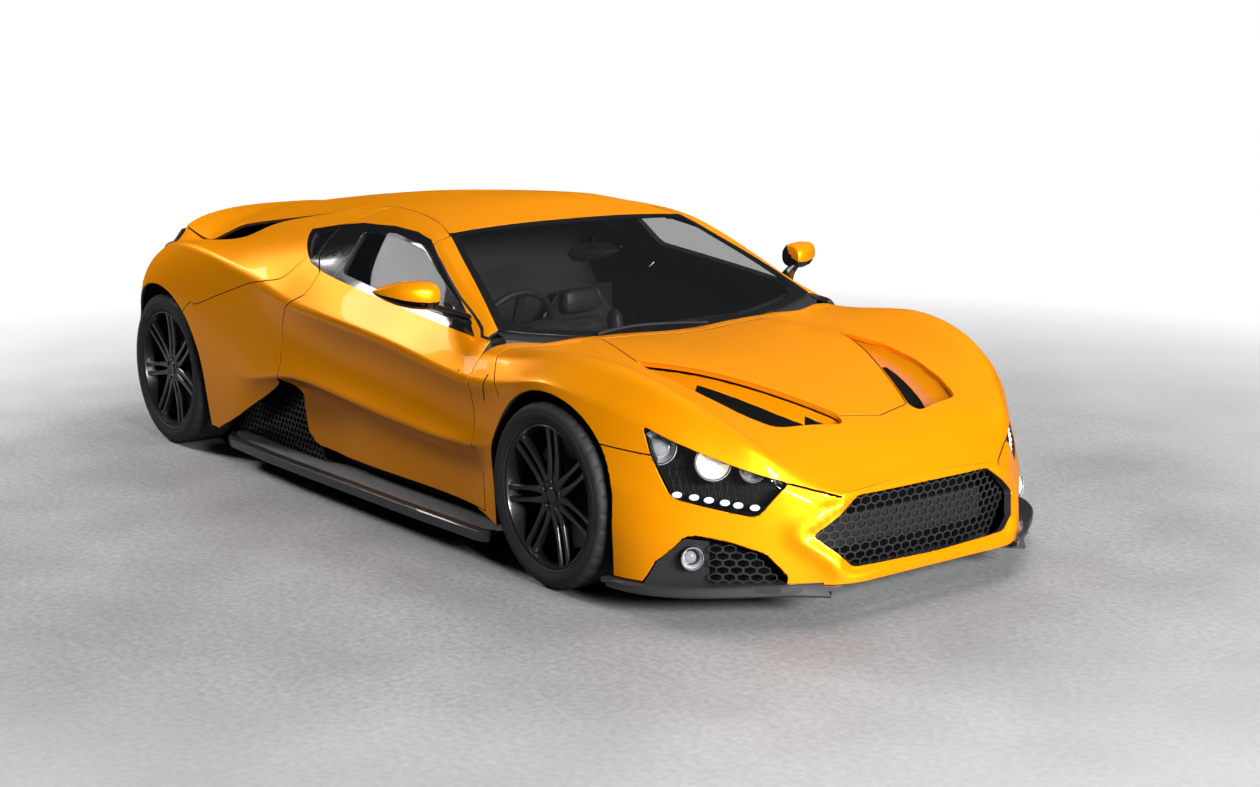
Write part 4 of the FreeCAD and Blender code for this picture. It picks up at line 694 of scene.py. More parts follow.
# Near-black painted shade for the backs of holes: the pans behind the nets, the trays' openings, the
# rings under the wheel nuts and the insides of the air vents.
painted_shade_black = speckled("painted_shade_black", (.001, .001, .001), (.002, .002, .002), .8, .95, 50,
                      Specular_IOR_Level=.1)
lamp_black = speckled("lamp_black", (.010, .010, .011), (.018, .018, .020), .3, .42, 300)
chrome = speckled("lamp_chrome", (.62, .63, .65), (.72, .73, .75), .08, .14, 60, Metallic=1.0)
red_glass = speckled("tail_red", (.55, .006, .005), (.62, .010, .008), .10, .16, 90,
                     Coat_Weight=1.0, Coat_Roughness=.03)
light_guide = tinted("light_guide", (.9, .92, .95), (.86, .88, .92), (.95, .96, .98), .2, 300,
                     Emission_Color=(.95, .97, 1.0, 1), Emission_Strength=.9)
lamp_glow = tinted("lamp_glow", (.9, .88, .82), (.55, .50, .38), (1.0, .93, .72), .3, 45,
                   "Emission Color", Emission_Strength=.5)
lamp_silver = speckled("lamp_silver", (.50, .50, .51), (.66, .66, .67), .22, .32, 60, Metallic=.3)
dome_glass = speckled("dome_glass", (.45, .47, .50), (.52, .54, .56), .03, .05, 30, Alpha=.4)
hex_black = make_hex_black()
net_black = speckled("net_black", (.016, .016, .017), (.024, .024, .025), .22, .32, 200,
                     Coat_Weight=.4, Coat_Roughness=.08)
# Lighter grey painted reflection for the top of the side blades' shelf.
shelf_painted_reflection = speckled("shelf_painted_reflection", (.085, .085, .088), (.17, .17, .175), .34, .5, 38, .0004)

for row in frame["record"]["subparts"]:
    node = row["node"]
    found = frame["nodes"][node]
    solid = found if isinstance(found, bpy.types.Object) else bpy.data.objects[node]
    material = red_glass if node == "tail_lamps" else finish[row["material_slot"]]
    if not solid.data.materials:
        solid.data.materials.append(material)
    for k in range(len(solid.data.materials)):
        solid.data.materials[k] = material

# Painted panels, each a smooth sheet cut along its seams.
dlo_corners = [(.815, .802), (.741, .840), (.507, .966), (.30, 1.066), (.227, 1.098),
               (.11, 1.119), (-.063, 1.128), (-.332, 1.120), (-.516, 1.099), (-.712, 1.066),
               (-.53, .984), (-.46, .955), (-.336, .930), (-.195, .912), (.053, .886),
               (.30, .862), (.523, .835)]
dlo_outline = rounded(dlo_corners, .009)
slit_outline = [(.985, .60), (.995, .60), (1.012, .70), (1.002, .70)]
front_arch = arch_outline(front_axle, .336, .366)
rear_arch = arch_outline(rear_axle, .350, .410)
lamp_round = rounded(lamp_outline, .022)
vent_round = rounded(vent_outline, .03)
door_gap_outline = grown(door_outline, gap)
bonnet_gap_outline = grown(bonnet_outline, gap)
full_grille = [(-y, z) for y, z in reversed(grille_outline[1:4])] + grille_outline[1:4]
flanks = ("left", "right")


def paint_object(name, mesh, body, *nodes):
    obj = make_object(name, mesh, body, "paint", finish["paint"], lining, black_gloss)
    if nodes:
        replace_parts(obj, *nodes)


def blacken(mesh, outline, view):
    """Gives the outer faces inside an outline the black gloss of the window frames."""
    u, v = views[view]
    for polygon in mesh.polygons:
        c = polygon.center
        if polygon.material_index == 0 and in_outline(outline, c[u], c[v]):
            polygon.material_index = 2


def build_clam():
    bm = sheet_mesh(*surface(front_names, 2.3, .85))
    carve(bm, grown(bumper_outline, .002), "side")
    carve(bm, ribbon(flowing(fender_seam), seam_width), "side", where=lambda c: c.y > .5)
    carve(bm, lamp_round, "side", where=lambda c: c.y > .3)
    carve(bm, front_arch, "side", where=lambda c: c.y > .5)
    carve(bm, bonnet_gap_outline, "top", where=lambda c: c.z > .5)
    carve(bm, [(x - .013, y) for x, y in bonnet_outline], "top", where=lambda c: c.z > .5)
    carve(bm, vent_round, "top", where=lambda c: c.z > .5)
    carve(bm, door_gap_outline, "side")
    carve(bm, [(.905, -.1), (.905, .66), (.862, .76), (.862, 1.2), (.5, 1.2), (.5, -.1)], "top")
    carve(bm, slit_outline, "side", where=lambda c: c.y > .8)
    open_edge = grown(vent_round, .01)
    return thick(bm, both=True, bright=lambda p: in_outline(open_edge, p.x, p.y)
                 or (p.x > 2.2 and p.y < .37))


def build_bonnet():
    bm = sheet_mesh(*surface(bonnet_names, 2.2, .85))
    carve(bm, bonnet_outline, "top", keep_inside=True)
    carve(bm, vent_round, "top")
    return thick(bm, both=True)


nose_heights = [.125, .16, .22, .29, .35, .415]
nose_middles = [2.333, 2.322, 2.305, 2.29, 2.281, 2.274]
nose_tip = 2.332
nose_pitch = .014
nose_columns = 30
ridge_columns = 60
ridge_rise = .010
ridge_width = .03
ridge_fade = .035


def outline_distance(outline, a, b):
    """How far a point lies from an outline, negative inside it."""
    best = math.inf
    for (a0, b0), (a1, b1) in sides(outline):
        run = (a1 - a0) ** 2 + (b1 - b0) ** 2
        t = min(max(((a - a0) * (a1 - a0) + (b - b0) * (b1 - b0)) / run, 0), 1)
        best = min(best, math.hypot(a - a0 - (a1 - a0) * t, b - b0 - (b1 - b0) * t))
    return -best if in_outline(outline, a, b) else best


def raise_ridge(point):
    """Lifts a point of the nose that lies near the grille's opening."""
    y, z = point[1], point[2]
    away = outline_distance(full_grille, y, z)
    if away < ridge_width:
        rise = math.sin(math.pi / 2 * max(away, 0) / ridge_width) ** 2
    else:
        rise = math.exp(-((away - ridge_width) / ridge_fade) ** 2)
    rise *= min(max((.405 - z) / .03, 0), 1)
    point[0] += ridge_rise * rise
    point[1] += .006 * rise * min(y / .4, 1)


def nose_grid():
    """The front from the middle of the nose round the corner to the wheel, with the grille's ridge."""
    side = surface(side_names, 2.3, 1.45, pitch=nose_pitch)[0]
    edge = side[:, 0]
    middle = np.interp(edge[:, 2], nose_heights, nose_middles)
    columns = []
    for t in np.linspace(0, 1, nose_columns + 1)[:-1]:
        across = edge[:, 1] * t
        lift = np.interp(across, [0, .18, .33, .376], [.016, .015, .003, 0])
        lift = lift * np.clip((edge[:, 2] - .29) / .125, 0, 1)
        columns.append(np.column_stack([middle + (edge[:, 0] - middle) * t ** 5, across,
                                        edge[:, 2] + lift]))
    grid = np.concatenate([np.stack(columns, axis=1), side], axis=1)
    fine = [grid[0]]
    for k in range(1, len(grid)):
        pieces = int(np.linalg.norm(grid[k] - grid[k - 1], axis=1).mean() / nose_pitch) + 1
        for s in range(1, pieces + 1):
            fine.append(grid[k - 1] + (grid[k] - grid[k - 1]) * s / pieces)
    grid = np.array(fine)
    for row in grid:
        for point in row[:ridge_columns]:
            raise_ridge(point)
    grid[:, :, 0] = np.minimum(grid[:, :, 0], nose_tip)
    normal = np.cross(np.gradient(grid, axis=1), np.gradient(grid, axis=0))
    normal /= np.linalg.norm(normal, axis=2)[:, :, None]
    normal[:, 0, 1] = 0
    return grid, normal


def build_corner():
    bm = sheet_mesh(*nose_grid())
    carve(bm, grown(bumper_outline, -.002), "side", keep_inside=True, where=lambda c: c.y > .385)
    carve(bm, front_arch, "side", where=lambda c: c.x < 2.0)
    carve(bm, lamp_round, "side", where=lambda c: c.y > .45)
    carve(bm, rounded(fog_outline, .012), "front", where=lambda c: c.x < 2.27)
    carve(bm, rounded(grille_outline, .02), "front", where=lambda c: c.x > 2.05)
    return thick(bm, depth=.028, radius=.003, both=True)


def build_door(flank):
    bm = sheet_mesh(*surface(side_names + ["cant", "rail"], .93, -.75, trim=gap))
    carve(bm, door_outline, "side", keep_inside=True)
    carve(bm, rounded(window_outline, .03), "side", where=lambda c: c.y > .5)
    level_cut(bm, rail_level)
    carve(bm, rail_cut_outline, "top", keep_inside=True, where=lambda c: c.z > rail_level)
    score(bm, dlo_outline, "side")
    mesh = thick(bm, depth=.022, flank=flank)
    blacken(mesh, dlo_outline, "side")
    return mesh


def build_quarter(flank):
    bm = sheet_mesh(*surface(side_names + ["cant", "rail"], .0, -2.3122, trim=gap))
    carve(bm, quarter_outline, "side", keep_inside=True)
    carve(bm, door_gap_outline, "side", where=lambda c: c.z < rail_level)
    carve(bm, rear_arch, "side")
    carve(bm, ribbon(flowing(rear_seam), seam_width), "side", where=lambda c: c.y > .7)
    carve(bm, rounded(quarter_window_outline, .012), "side")
    level_cut(bm, rail_level)
    carve(bm, grown(rail_cut_outline, gap * 1.6), "top", where=lambda c: c.z > rail_level)
    score(bm, dlo_outline, "side")
    mesh = thick(bm, flank=flank)
    blacken(mesh, dlo_outline, "side")
    return mesh


def build_pillar(flank):
    bm = sheet_mesh(*surface(["crest", "cant", "rail"], .86, -.30))
    carve(bm, pillar_outline, "side", keep_inside=True)
    carve(bm, door_gap_outline, "side")
    return thick(bm, flank=flank)


paint_object("clam_skin", build_clam(), "car", "front_clam")
paint_object("bonnet_skin", build_bonnet(), "bonnet", "bonnet")
paint_object("bumper_skin", build_corner(), "car", "front_bumper")
for flank in flanks:
    paint_object("door_skin_" + flank, build_door(flank), "door_" + flank, "door_" + flank)
    paint_object("quarter_skin_" + flank, build_quarter(flank), "car", "quarter_" + flank)
    paint_object("pillar_skin_" + flank, build_pillar(flank), "car")
roof_sheet = thick(sheet_mesh(*surface(roof_names, .235, -.619)), both=True)
lid_sheet = thick(sheet_mesh(*surface(roof_names, -.626, -2.3122)), both=True)
paint_object("roof_skin", roof_sheet, "car", "roof")
paint_object("lid_skin", lid_sheet, "engine_lid", "engine_cover")


# Helpers for turned and swept pieces.
class Shape:
    """Points, faces and the number of each face's material."""

    def __init__(self):
        self.points = []
        self.faces = []
        self.kinds = []

    def face(self, corners, kind=0):
        self.faces.append(list(corners))
        self.kinds.append(kind)

    def rows(self, rows, kind=0, closed=True):
        """Faces between rows of points; kind is a number, or says it for each (row, place)."""
        start = len(self.points)
        count = len(rows[0])
        for row in rows:
            self.points.extend(row)
        for k in range(len(rows) - 1):
            a = start + k * count
            b = a + count
            for i in range(count if closed else count - 1):
                j = (i + 1) % count
                self.face((a + i, a + j, b + j, b + i), kind(k, i) if callable(kind) else kind)

    def bar(self, rows, kind=0, ends=(0, 0)):
        """Rows of section loops with a flat face at either end."""
        start = len(self.points)
        count = len(rows[0])
        self.rows(rows, kind)
        last = start + count * (len(rows) - 1)
        self.face(range(start, start + count), ends[0])
        self.face(reversed(range(last, last + count)), ends[1])

    def turned(self, profile, centre, axis, segments=48, kind=0, squash=1.0):
        """A surface turned round an axis; the profile is (radius, place along the axis)."""
        axis = Vector(axis).normalized()
        across = axis.cross(Vector((0, 0, 1))).normalized()
        rise = axis.cross(across)
        self.rows([[Vector(centre) + axis * place + across * (radius * math.cos(a))
                    + rise * (radius * squash * math.sin(a)) for a in angles(segments)]
                   for radius, place in profile], kind)

    def mesh(self, name):
        mesh = bpy.data.meshes.new(name)
        mesh.from_pydata([tuple(p) for p in self.points], [], self.faces)
        return mesh


def angles(count):
    return [2 * math.pi * i / count for i in range(count)]


def bent(value, power):
    """A power of a number that keeps its sign."""
    return math.copysign(abs(value) ** power, value)


def finished(name, shape, materials, slot, flank="left", body="car", degrees=35):
    """An object of a shape, which is mirrored across the car for the right flank."""
    if flank == "right":
        shape.points = [(p[0], -p[1], p[2]) for p in shape.points]
        shape.faces = [list(reversed(face)) for face in shape.faces]
    mesh = shape.mesh(name)
    mesh.polygons.foreach_set("material_index", shape.kinds)
    bm = bmesh.new()
    bm.from_mesh(mesh)
    bmesh.ops.remove_doubles(bm, verts=bm.verts[:], dist=1e-6)
    bmesh.ops.recalc_face_normals(bm, faces=bm.faces[:])
    bm.to_mesh(mesh)
    bm.free()
    mesh.shade_smooth()
    mesh.set_sharp_from_angle(angle=math.radians(degrees))
    return make_object(name, mesh, body, slot, *materials)


def walled(obj, thickness):
    """Gives a bare sheet its thickness."""
    obj.modifiers.new("wall", "SOLIDIFY").thickness = thickness


def resampled(outline, pitch):
    points = []
    for (a0, b0), (a1, b1) in sides(outline):
        pieces = max(1, int(math.hypot(a1 - a0, b1 - b0) / pitch))
        points += [(a0 + (a1 - a0) * k / pieces, b0 + (b1 - b0) * k / pieces) for k in range(pieces)]
    return points


# Trays under the openings beside the bonnet.
top_points = surface(bonnet_names, 2.2, .95)[0].reshape(-1, 3)
tray_sink = .0138


def skin_height(x, y):
    distance = (top_points[:, 0] - x) ** 2 + (top_points[:, 1] - y) ** 2
    near = np.argsort(distance)[:4]
    weight = 1 / (distance[near] + 1e-7)
    return float((top_points[near, 2] * weight).sum() / weight.sum())


def build_tray(flank):
    """The floor rolls in from the outer edge and falls away towards the bonnet and the front; its deep
    middle and its front carry painted shade.
    """
    outer = flowing([(1.325, .512), (1.42, .531), (1.52, .541), (1.72, .526), (1.88, .491),
                     (1.987, .446), (2.018, .405), (2.045, .295), (2.069, .178)], 5)
    last = len(outer) - 1
    shares = [(0, 0), (.08, .22), (.16, .45), (.25, .70), (.36, .93), (.46, 1.0), (.60, .90),
              (.74, .60), (.88, .24), (1.0, 0)]
    rows = []
    for k, (outer_x, outer_y) in enumerate(outer):
        t = k / last
        inner_x = 1.325 + .712 * t
        inner_y = .512 - .354 * t
        row = []
        for v, share in shares:
            x = inner_x + (outer_x - inner_x) * v
            y = inner_y + (outer_y - inner_y) * v
            fall = (.010 + .120 * t ** 1.1) * share
            row.append(Vector((x, y, skin_height(x, y) - tray_sink - .0084 * (v < .9) - fall)))
        rows.append(row)
    rows.append([Vector((p.x + .001, p.y, skin_height(p.x, p.y) - tray_sink)) for p in rows[-1]])

    # Painted shade: the middle strips further back take darkened paint; the front row and the middle
    # strips further forward take near-black for the shade in the opening.
    def shade(k, s):
        if k == last or k > last * .82 and 1 <= s <= 7 or k > last * .31 and 2 <= s <= 5:
            return 1
        return 2 if 3 <= s <= 6 else 0

    shape = Shape()
    shape.rows(rows, shade, closed=False)
    finished("vent_tray_" + flank, shape, [finish["paint"], painted_shade_black, paint_in_painted_shade], "paint",
             flank, degrees=50)


for flank in flanks:
    build_tray(flank)


# Headlamps: a clear lens over a black bowl with three round lamps and a row of six.
lamp_finishes = [lamp_black, lamp_silver, dome_glass, light_guide, lamp_glow, chrome]
bowl_depth = .078


def build_lens(flank):
    bm = sheet_mesh(*surface(side_names, 2.3, 1.55, pitch=.012, sink=.001))
    carve(bm, grown(lamp_round, -.003), "side", keep_inside=True)
    mesh = thick(bm, depth=.004, radius=.0006, flank=flank)
    lens = make_object("lens_" + flank, mesh, "car", "lamp", finish["lamp"], finish["lamp"])
    if flank == "right":
        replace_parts(lens, "headlamps")


def build_bowl(flank):
    """The inside of the lamp: walls down from the lens's edge and a back."""
    bm = sheet_mesh(*surface(side_names, 2.3, 1.55, sink=.0055))
    carve(bm, grown(lamp_round, -.001), "side", keep_inside=True)
    layer = bm.verts.layers.float_vector["smooth"]
    drop_lone(bm)
    shape = Shape()
    index = {}
    for vert in bm.verts:
        index[vert] = len(shape.points)
        shape.points += [vert.co.copy(), vert.co - Vector(vert[layer]).normalized() * bowl_depth]
    for face in bm.faces:
        shape.face(index[vert] + 1 for vert in face.verts)
        for loop in face.loops:
            if len(loop.edge.link_faces) == 1:
                a, b = index[loop.vert], index[loop.link_loop_next.vert]
                shape.face((a, b, b + 1, a + 1))
    bm.free()
    finished("lamp_bowl_" + flank, shape, [hex_black], "lamp", flank)


def round_lamp(shape, centre, axis, radius, lens, lit):
    """A lamp: a black ring with a bright edge, a bright cup and a dome of glass."""
    ring = [(radius * 1.02, -.05), (radius * 1.08, .0), (radius, .003), (radius * .94, .0)]
    cup = [(radius * .94, .0), (radius * .88, -.010), (radius * .74, -.024), (lens * 1.25, -.034),
           (lens * 1.1, -.036), (lens * 1.1, -.028), (lens, -.027)]
    back = [(lens, -.030), (.0005, -.030)]
    bezel = [(radius, .003), (radius * 1.02, .006), (radius * 1.05, .005), (radius * 1.07, .001)]
    dome = [(lens * math.cos(t), -.028 + lens * .75 * math.sin(t)) for t in np.linspace(0, 1.5, 8)]
    dome.append((0.0005, -.028 + lens * .75))
    for profile, kind in ((ring, 0), (cup, 4 if lit else 1), (back, 4 if lit else 1), (bezel, 1),
                          (dome, 4 if lit else 2)):
        shape.turned(profile, centre, axis, 40, kind)


def build_lamps(flank):
    shape = Shape()
    # Centre on the skin, its direction, ring radius, dome radius, lit.
    rounds = (((1.8614, .8281, .5826), (.585, .761, .28), .056, .030, False),
              ((2.0037, .7094, .5396), (.712, .607, .352), .058, .030, True),
              ((2.0919, .6125, .5179), (.769, .559, .308), .042, .022, False))
    for spot, normal, radius, lens, lit in rounds:
        normal = Vector(normal)
        axis = (Vector((.93, .30, .05)) * .45 + normal).normalized()
        centre = Vector(spot) - normal * (.016 + radius * .12) - Vector((0, 0, .014))
        round_lamp(shape, centre, axis, radius, lens, lit)
    normal = Vector((.74, .64, .18)).normalized()
    ring = [(.0175, -.05), (.0185, 0), (.0165, .002)]
    dome = [(.0165 * math.cos(t), .002 + .009 * math.sin(t)) for t in np.linspace(0, 1.5, 6)]
    dome.append((.0003, .011))
    for spot in ((1.944, .814, .418), (1.985, .775, .411), (2.020, .741, .403),
                 (2.055, .702, .395), (2.0845, .670, .387), (2.119, .628, .379)):
        centre = Vector(spot) - normal * .022
        shape.turned(ring, centre, normal, 24, 0, .62)
        shape.turned(dome, centre, normal, 24, 3, .62)
    finished("lamp_parts_" + flank, shape, lamp_finishes, "lamp", flank)


def build_fog(flank):
    shape = Shape()
    round_lamp(shape, (2.003, .797, .213), (.90, .42, .05), .036, .022, False)
    finished("fog_lamp_" + flank, shape, lamp_finishes, "lamp", flank)


for flank in flanks:
    build_lens(flank)
    build_bowl(flank)
    build_lamps(flank)
    build_fog(flank)


# Glass.
def glass_object(name, mesh, body):
    glass = finish["glass"]
    return make_object(name, mesh, body, "glass", glass, glass, black_gloss)


def build_screen():
    """The windscreen with its black border."""
    mesh = thick(sheet_mesh(*surface(screen_names, 1.0, .225, pitch=.016, sink=.001)), depth=.005,
                 radius=.0005, both=True)
    border = .045
    for polygon in mesh.polygons:
        c = polygon.center
        side = lines["rail"].at(np.array([c.x]))[0][1]
        front = np.interp(abs(c.y), [0, .40, .60, .735], [1.0, .985, .93, .83])
        if abs(c.y) > side - border or c.x > front - border or c.x < .262:
            polygon.material_index = 2
    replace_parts(glass_object("windscreen", mesh, "car"), "fixed_glass")


def build_cowl():
    """A black strip under the lower edge of the screen, across the car."""
    rim = [Vector(p) for p in surface(screen_names, 1.0, .225, pitch=.016)[0][:, 0]]
    rim = rim + [Vector((p.x, -p.y, p.z)) for p in reversed(rim[:-1])]
    steps = [Vector(step) for step in ((-.06, 0, .018), (-.005, 0, -.012), (.05, 0, -.030),
                                       (.05, 0, -.10))]
    shape = Shape()
    shape.rows([[p + step for step in steps] for p in rim], closed=False)
    finished("cowl", shape, [finish["black_plastic"]], "black_plastic")


def build_window(outline, sink, flank):
    bm = sheet_mesh(*surface(["crest", "cant"], .86, -.75, sink=sink))
    carve(bm, outline, "side", keep_inside=True)
    return thick(bm, depth=.004, radius=.0005, flank=flank)


build_screen()
build_cowl()
for flank in flanks:
    pane = build_window(grown(window_outline, .008), .007, flank)
    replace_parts(glass_object("door_window_" + flank, pane, "door_" + flank), "door_glass_" + flank)
    pane = build_window(grown(quarter_window_outline, .010), .015, flank)
    for polygon in pane.polygons:
        polygon.material_index = 2
    glass_object("quarter_window_" + flank, pane, "car")


# Wheels: tyre, rim with seven twin spokes, hub and nuts.
spoke_pairs = 7
nut_count = 5
tread_segments = 216
tread_step = 6
axle_way = (0, 1, 0)
# Outer face and width of the tyre, rim radius, tyre radius, axle.
wheel_sizes = {"front": (.968, .255, .254, .330, front_axle),
               "rear": (.985, .335, .271, .354, rear_axle)}


def spoke_rows(lip, face, side_turn):
    """Sections of one bar of a twin spoke, hub to rim, in the wheel's own frame."""
    rows = []
    for t in np.linspace(0, 1, 12):
        radius = .052 + (lip - .050) * t
        width = .0085 + .0075 * (1 - t) ** 3 + .003 * t ** 6
        offset = side_turn * (.0205 + .002 * t - .004 * (1 - t) ** 4)
        front = face - .006 * math.sin(math.pi * t) + .014 * t
        depth = .034 - .012 * t
        section = [(-width, -depth), (-width, -.005), (-width * .72, 0), (width * .72, 0),
                   (width, -.005), (width, -depth), (width * .6, -depth - .004),
                   (-width * .6, -depth - .004)]
        rows.append([Vector((offset + a, front + b, radius)) for a, b in section])
    return rows


def build_rim(end, flank, body):
    outer, width, rim, radius, axle = wheel_sizes[end]
    centre = Vector((axle, 0, radius))
    shape = Shape()
    out = outer - .012
    low = outer - width + .012
    lip = rim - .009
    barrel = [(rim, low), (rim + .0005, out - .006), (rim, out - .001), (rim - .003, out + .001),
              (lip + .001, out - .001), (lip - .001, out - .006), (lip - .002, out - .030),
              (lip - .012, out - .060), (lip - .014, low + .012), (lip - .002, low),
              (rim, low)]
    shape.turned(barrel, centre, axle_way, 112)
    face = outer - .034
    hub = [(.0001, face + .001), (.026, face + .001), (.0285, face - .001), (.030, face - .004),
           (.034, face - .004), (.036, face - .001), (.060, face - .003), (.070, face - .010),
           (.074, face - .022), (.074, face - .046), (.0001, face - .046)]
    shape.turned(hub, centre, axle_way, 70)
    for turn_angle in angles(spoke_pairs):
        turn = Matrix.Rotation(turn_angle + .08, 3, "Y")
        for side_turn in (-1, 1):
            shape.bar([[turn @ spot + centre for spot in row]
                       for row in spoke_rows(lip, face, side_turn)])
    cup = [(.0125, .0005), (.0118, .0015), (.0108, .0005), (.0100, -.0008)]
    nut = [(.0001, .0030), (.0058, .0030), (.0068, .0018), (.0068, -.0008)]
    for a in angles(nut_count):
        spot = centre + Vector((.050 * math.sin(a), face, .050 * math.cos(a)))
        shape.turned(cup, spot, axle_way, 20)
        # The ring under each nut is near-black, painted shade in the nut's hole.
        shape.turned([(.0100, -.0008), (.0001, -.0008)], spot, axle_way, 20, 1)
        shape.turned(nut, spot, axle_way, 6, 2)
    obj = finished("rim_skin_%s_%s" % (end, flank), shape,
                   [finish["rim"], painted_shade_black, finish["metal"]], "rim", flank, body, 30)
    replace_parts(obj, "rim_%s_%s" % (end, flank))


def build_tyre(end, flank, body):
    outer, width, rim, radius, axle = wheel_sizes[end]
    centre = Vector((axle, 0, radius))
    half = width / 2
    middle = outer - half
    side_wall = radius - rim
    # Half profile, bead to the middle of the tread: radius, distance from the middle.
    profile = [(rim - .001, half - .017), (rim + .004, half - .010), (rim + .010, half - .0065),
               (rim + .014, half - .007), (rim + side_wall * .32, half - .0015),
               (rim + side_wall * .50, half), (rim + side_wall * .52, half - .0012),
               (rim + side_wall * .66, half - .002), (radius - .017, half - .005),
               (radius - .009, half - .011), (radius - .004, half - .021)]
    shoulder = len(profile)
    grooves = [half * .62, half * .22]
    spots = [half - .034]
    for groove in grooves:
        spots += [groove + .007, groove + .005, groove - .005, groove - .007]
    for spot in spots + [0.0]:
        deep = any(abs(spot - groove) < .006 for groove in grooves)
        profile.append((radius - (.0075 if deep else .0008), spot))
    full = [(r, middle + p) for r, p in profile]
    full += [(r, middle - p) for r, p in reversed(profile[:-1])]
    rows = []
    for k, (r, p) in enumerate(full):
        row = min(k, len(full) - 1 - k)
        points = []
        for i, a in enumerate(angles(tread_segments)):
            deep = 0.0
            if abs(row - shoulder + 1) <= 1 and i % tread_step == 0:
                deep = .0045
            elif row > shoulder and r > radius - .002 and (i + 2) % tread_step == 0:
                deep = .004
            points.append(centre + Vector(((r - deep) * math.sin(a), p, (r - deep) * math.cos(a))))
        rows.append(points)
    shape = Shape()
    shape.rows(rows)
    obj = finished("tyre_skin_%s_%s" % (end, flank), shape, [finish["tyre"]], "tyre", flank, body,
                   32)
    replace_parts(obj, "tyre_%s_%s" % (end, flank))


for flank in flanks:
    for end in ("front", "rear"):
        build_tyre(end, flank, "wheel_%s_%s" % (end, flank))
        build_rim(end, flank, "wheel_%s_%s" % (end, flank))


# Nets: wide hexagonal cells with thin webs, set back behind each opening.
hexagon = ((.5, -.3333), (.5, .3333), (0, .6667), (-.5, .3333), (-.5, -.3333), (0, -.6667))
net_web = .0028
net_depth = .006


def hex_net(name, outline, place, pitch, rise):
    """A net over a flat outline; place maps its (across, up) to a point on the car."""
    us = [u for u, v in outline]
    vs = [v for u, v in outline]
    shrink_u = 1 - net_web / (pitch * .5)
    shrink_v = 1 - net_web / (rise * .62)
    bm = bmesh.new()
    known = {}

    def vert(u, v):
        key = (round(u, 5), round(v, 5))
        if key not in known:
            known[key] = bm.verts.new(place(u, v))
        return known[key]

    row = 0
    v = min(vs)
    while v < max(vs) + rise:
        u = min(us) - pitch + (row % 2) * pitch / 2
        while u < max(us) + pitch:
            if in_outline(outline, u, v):
                outside = [vert(u + a * pitch, v + b * rise) for a, b in hexagon]
                inside = [vert(u + a * pitch * shrink_u, v + b * rise * shrink_v)
                          for a, b in hexagon]
                for k in range(6):
                    bm.faces.new((outside[k - 1], outside[k], inside[k], inside[k - 1]))
            u += pitch
        v += rise
        row += 1
    mesh = bpy.data.meshes.new(name)
    bmesh.ops.recalc_face_normals(bm, faces=bm.faces[:])
    bm.to_mesh(mesh)
    bm.free()
    obj = make_object(name, mesh, "car", "black_plastic", net_black)
    solid = obj.modifiers.new("depth", "SOLIDIFY")
    solid.thickness = net_depth
    solid.offset = 0
    return obj


def backing(name, outline, place, back, material=painted_shade_black):
    """A pan behind a net: walls from its edge and a flat back, near-black by default as painted shade
    deep in the opening.
    """
    front = [place(u, v) for u, v in outline]
    shape = Shape()
    shape.rows([front, [p + Vector(back) for p in front]])
    shape.face(range(len(front), 2 * len(front)))
    finished(name, shape, [material], "black_plastic")


def grille_spot(y, z):
    return Vector((2.262 - abs(y) ** 3 * .55, y, z))


def tail_spot(y, z):
    return Vector((-2.316, y, z))


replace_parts(hex_net("grille_net", grown(full_grille, .012), grille_spot, .0405, .0262),
            "grille_mesh")
backing("grille_pan", resampled(grown(full_grille, .014), .05), grille_spot, (-.09, 0, 0))
heat_outline = [(-.43, .50), (.43, .50), (.43, .82), (-.43, .82)]
hex_net("heat_net", heat_outline, tail_spot, .040, .026)
backing("heat_pan", heat_outline, tail_spot, (.025, 0, 0))

intake_outline = [(-.39, .128), (-.39, .55), (-.60, .55), (-.76, .46), (-.94, .35), (-1.12, .24),
                  (-1.21, .128)]
fog_hole = [(.60, .125), (.58, .165), (.625, .222), (.70, .255), (.80, .272), (.868, .195),
            (.90, .125)]
fog_mesh = [(.60, .125), (.58, .165), (.625, .222), (.70, .255), (.745, .262), (.745, .125)]
fog_plate = [(.90, .125), (.868, .197), (.80, .274), (.738, .266), (.738, .125)]


def slanted(depth, side_turn):
    """Places (across, up) on the slanting plane behind a fog lamp's opening."""
    return lambda u, v: Vector((depth - (u - .60) * .86, side_turn * u, v))


for flank, side_turn in zip(flanks, (1, -1)):
    def intake_spot(u, v, side_turn=side_turn):
        return Vector((u, side_turn * (.848 + .03 * (u + .4)), v))

    fog_spot = slanted(2.162, side_turn)
    hex_net("fog_net_" + flank, fog_mesh, fog_spot, .034, .024)
    backing("fog_plate_" + flank, fog_plate, slanted(2.138, side_turn),
            (.002, side_turn * .001, 0), lamp_black)
    backing("fog_pan_" + flank, grown(fog_hole, .012), fog_spot, (-.035, -side_turn * .02, 0))
    hex_net("intake_net_" + flank, intake_outline, intake_spot, .034, .026)
    backing("intake_pan_" + flank, intake_outline, intake_spot, (0, -side_turn * .03, 0))


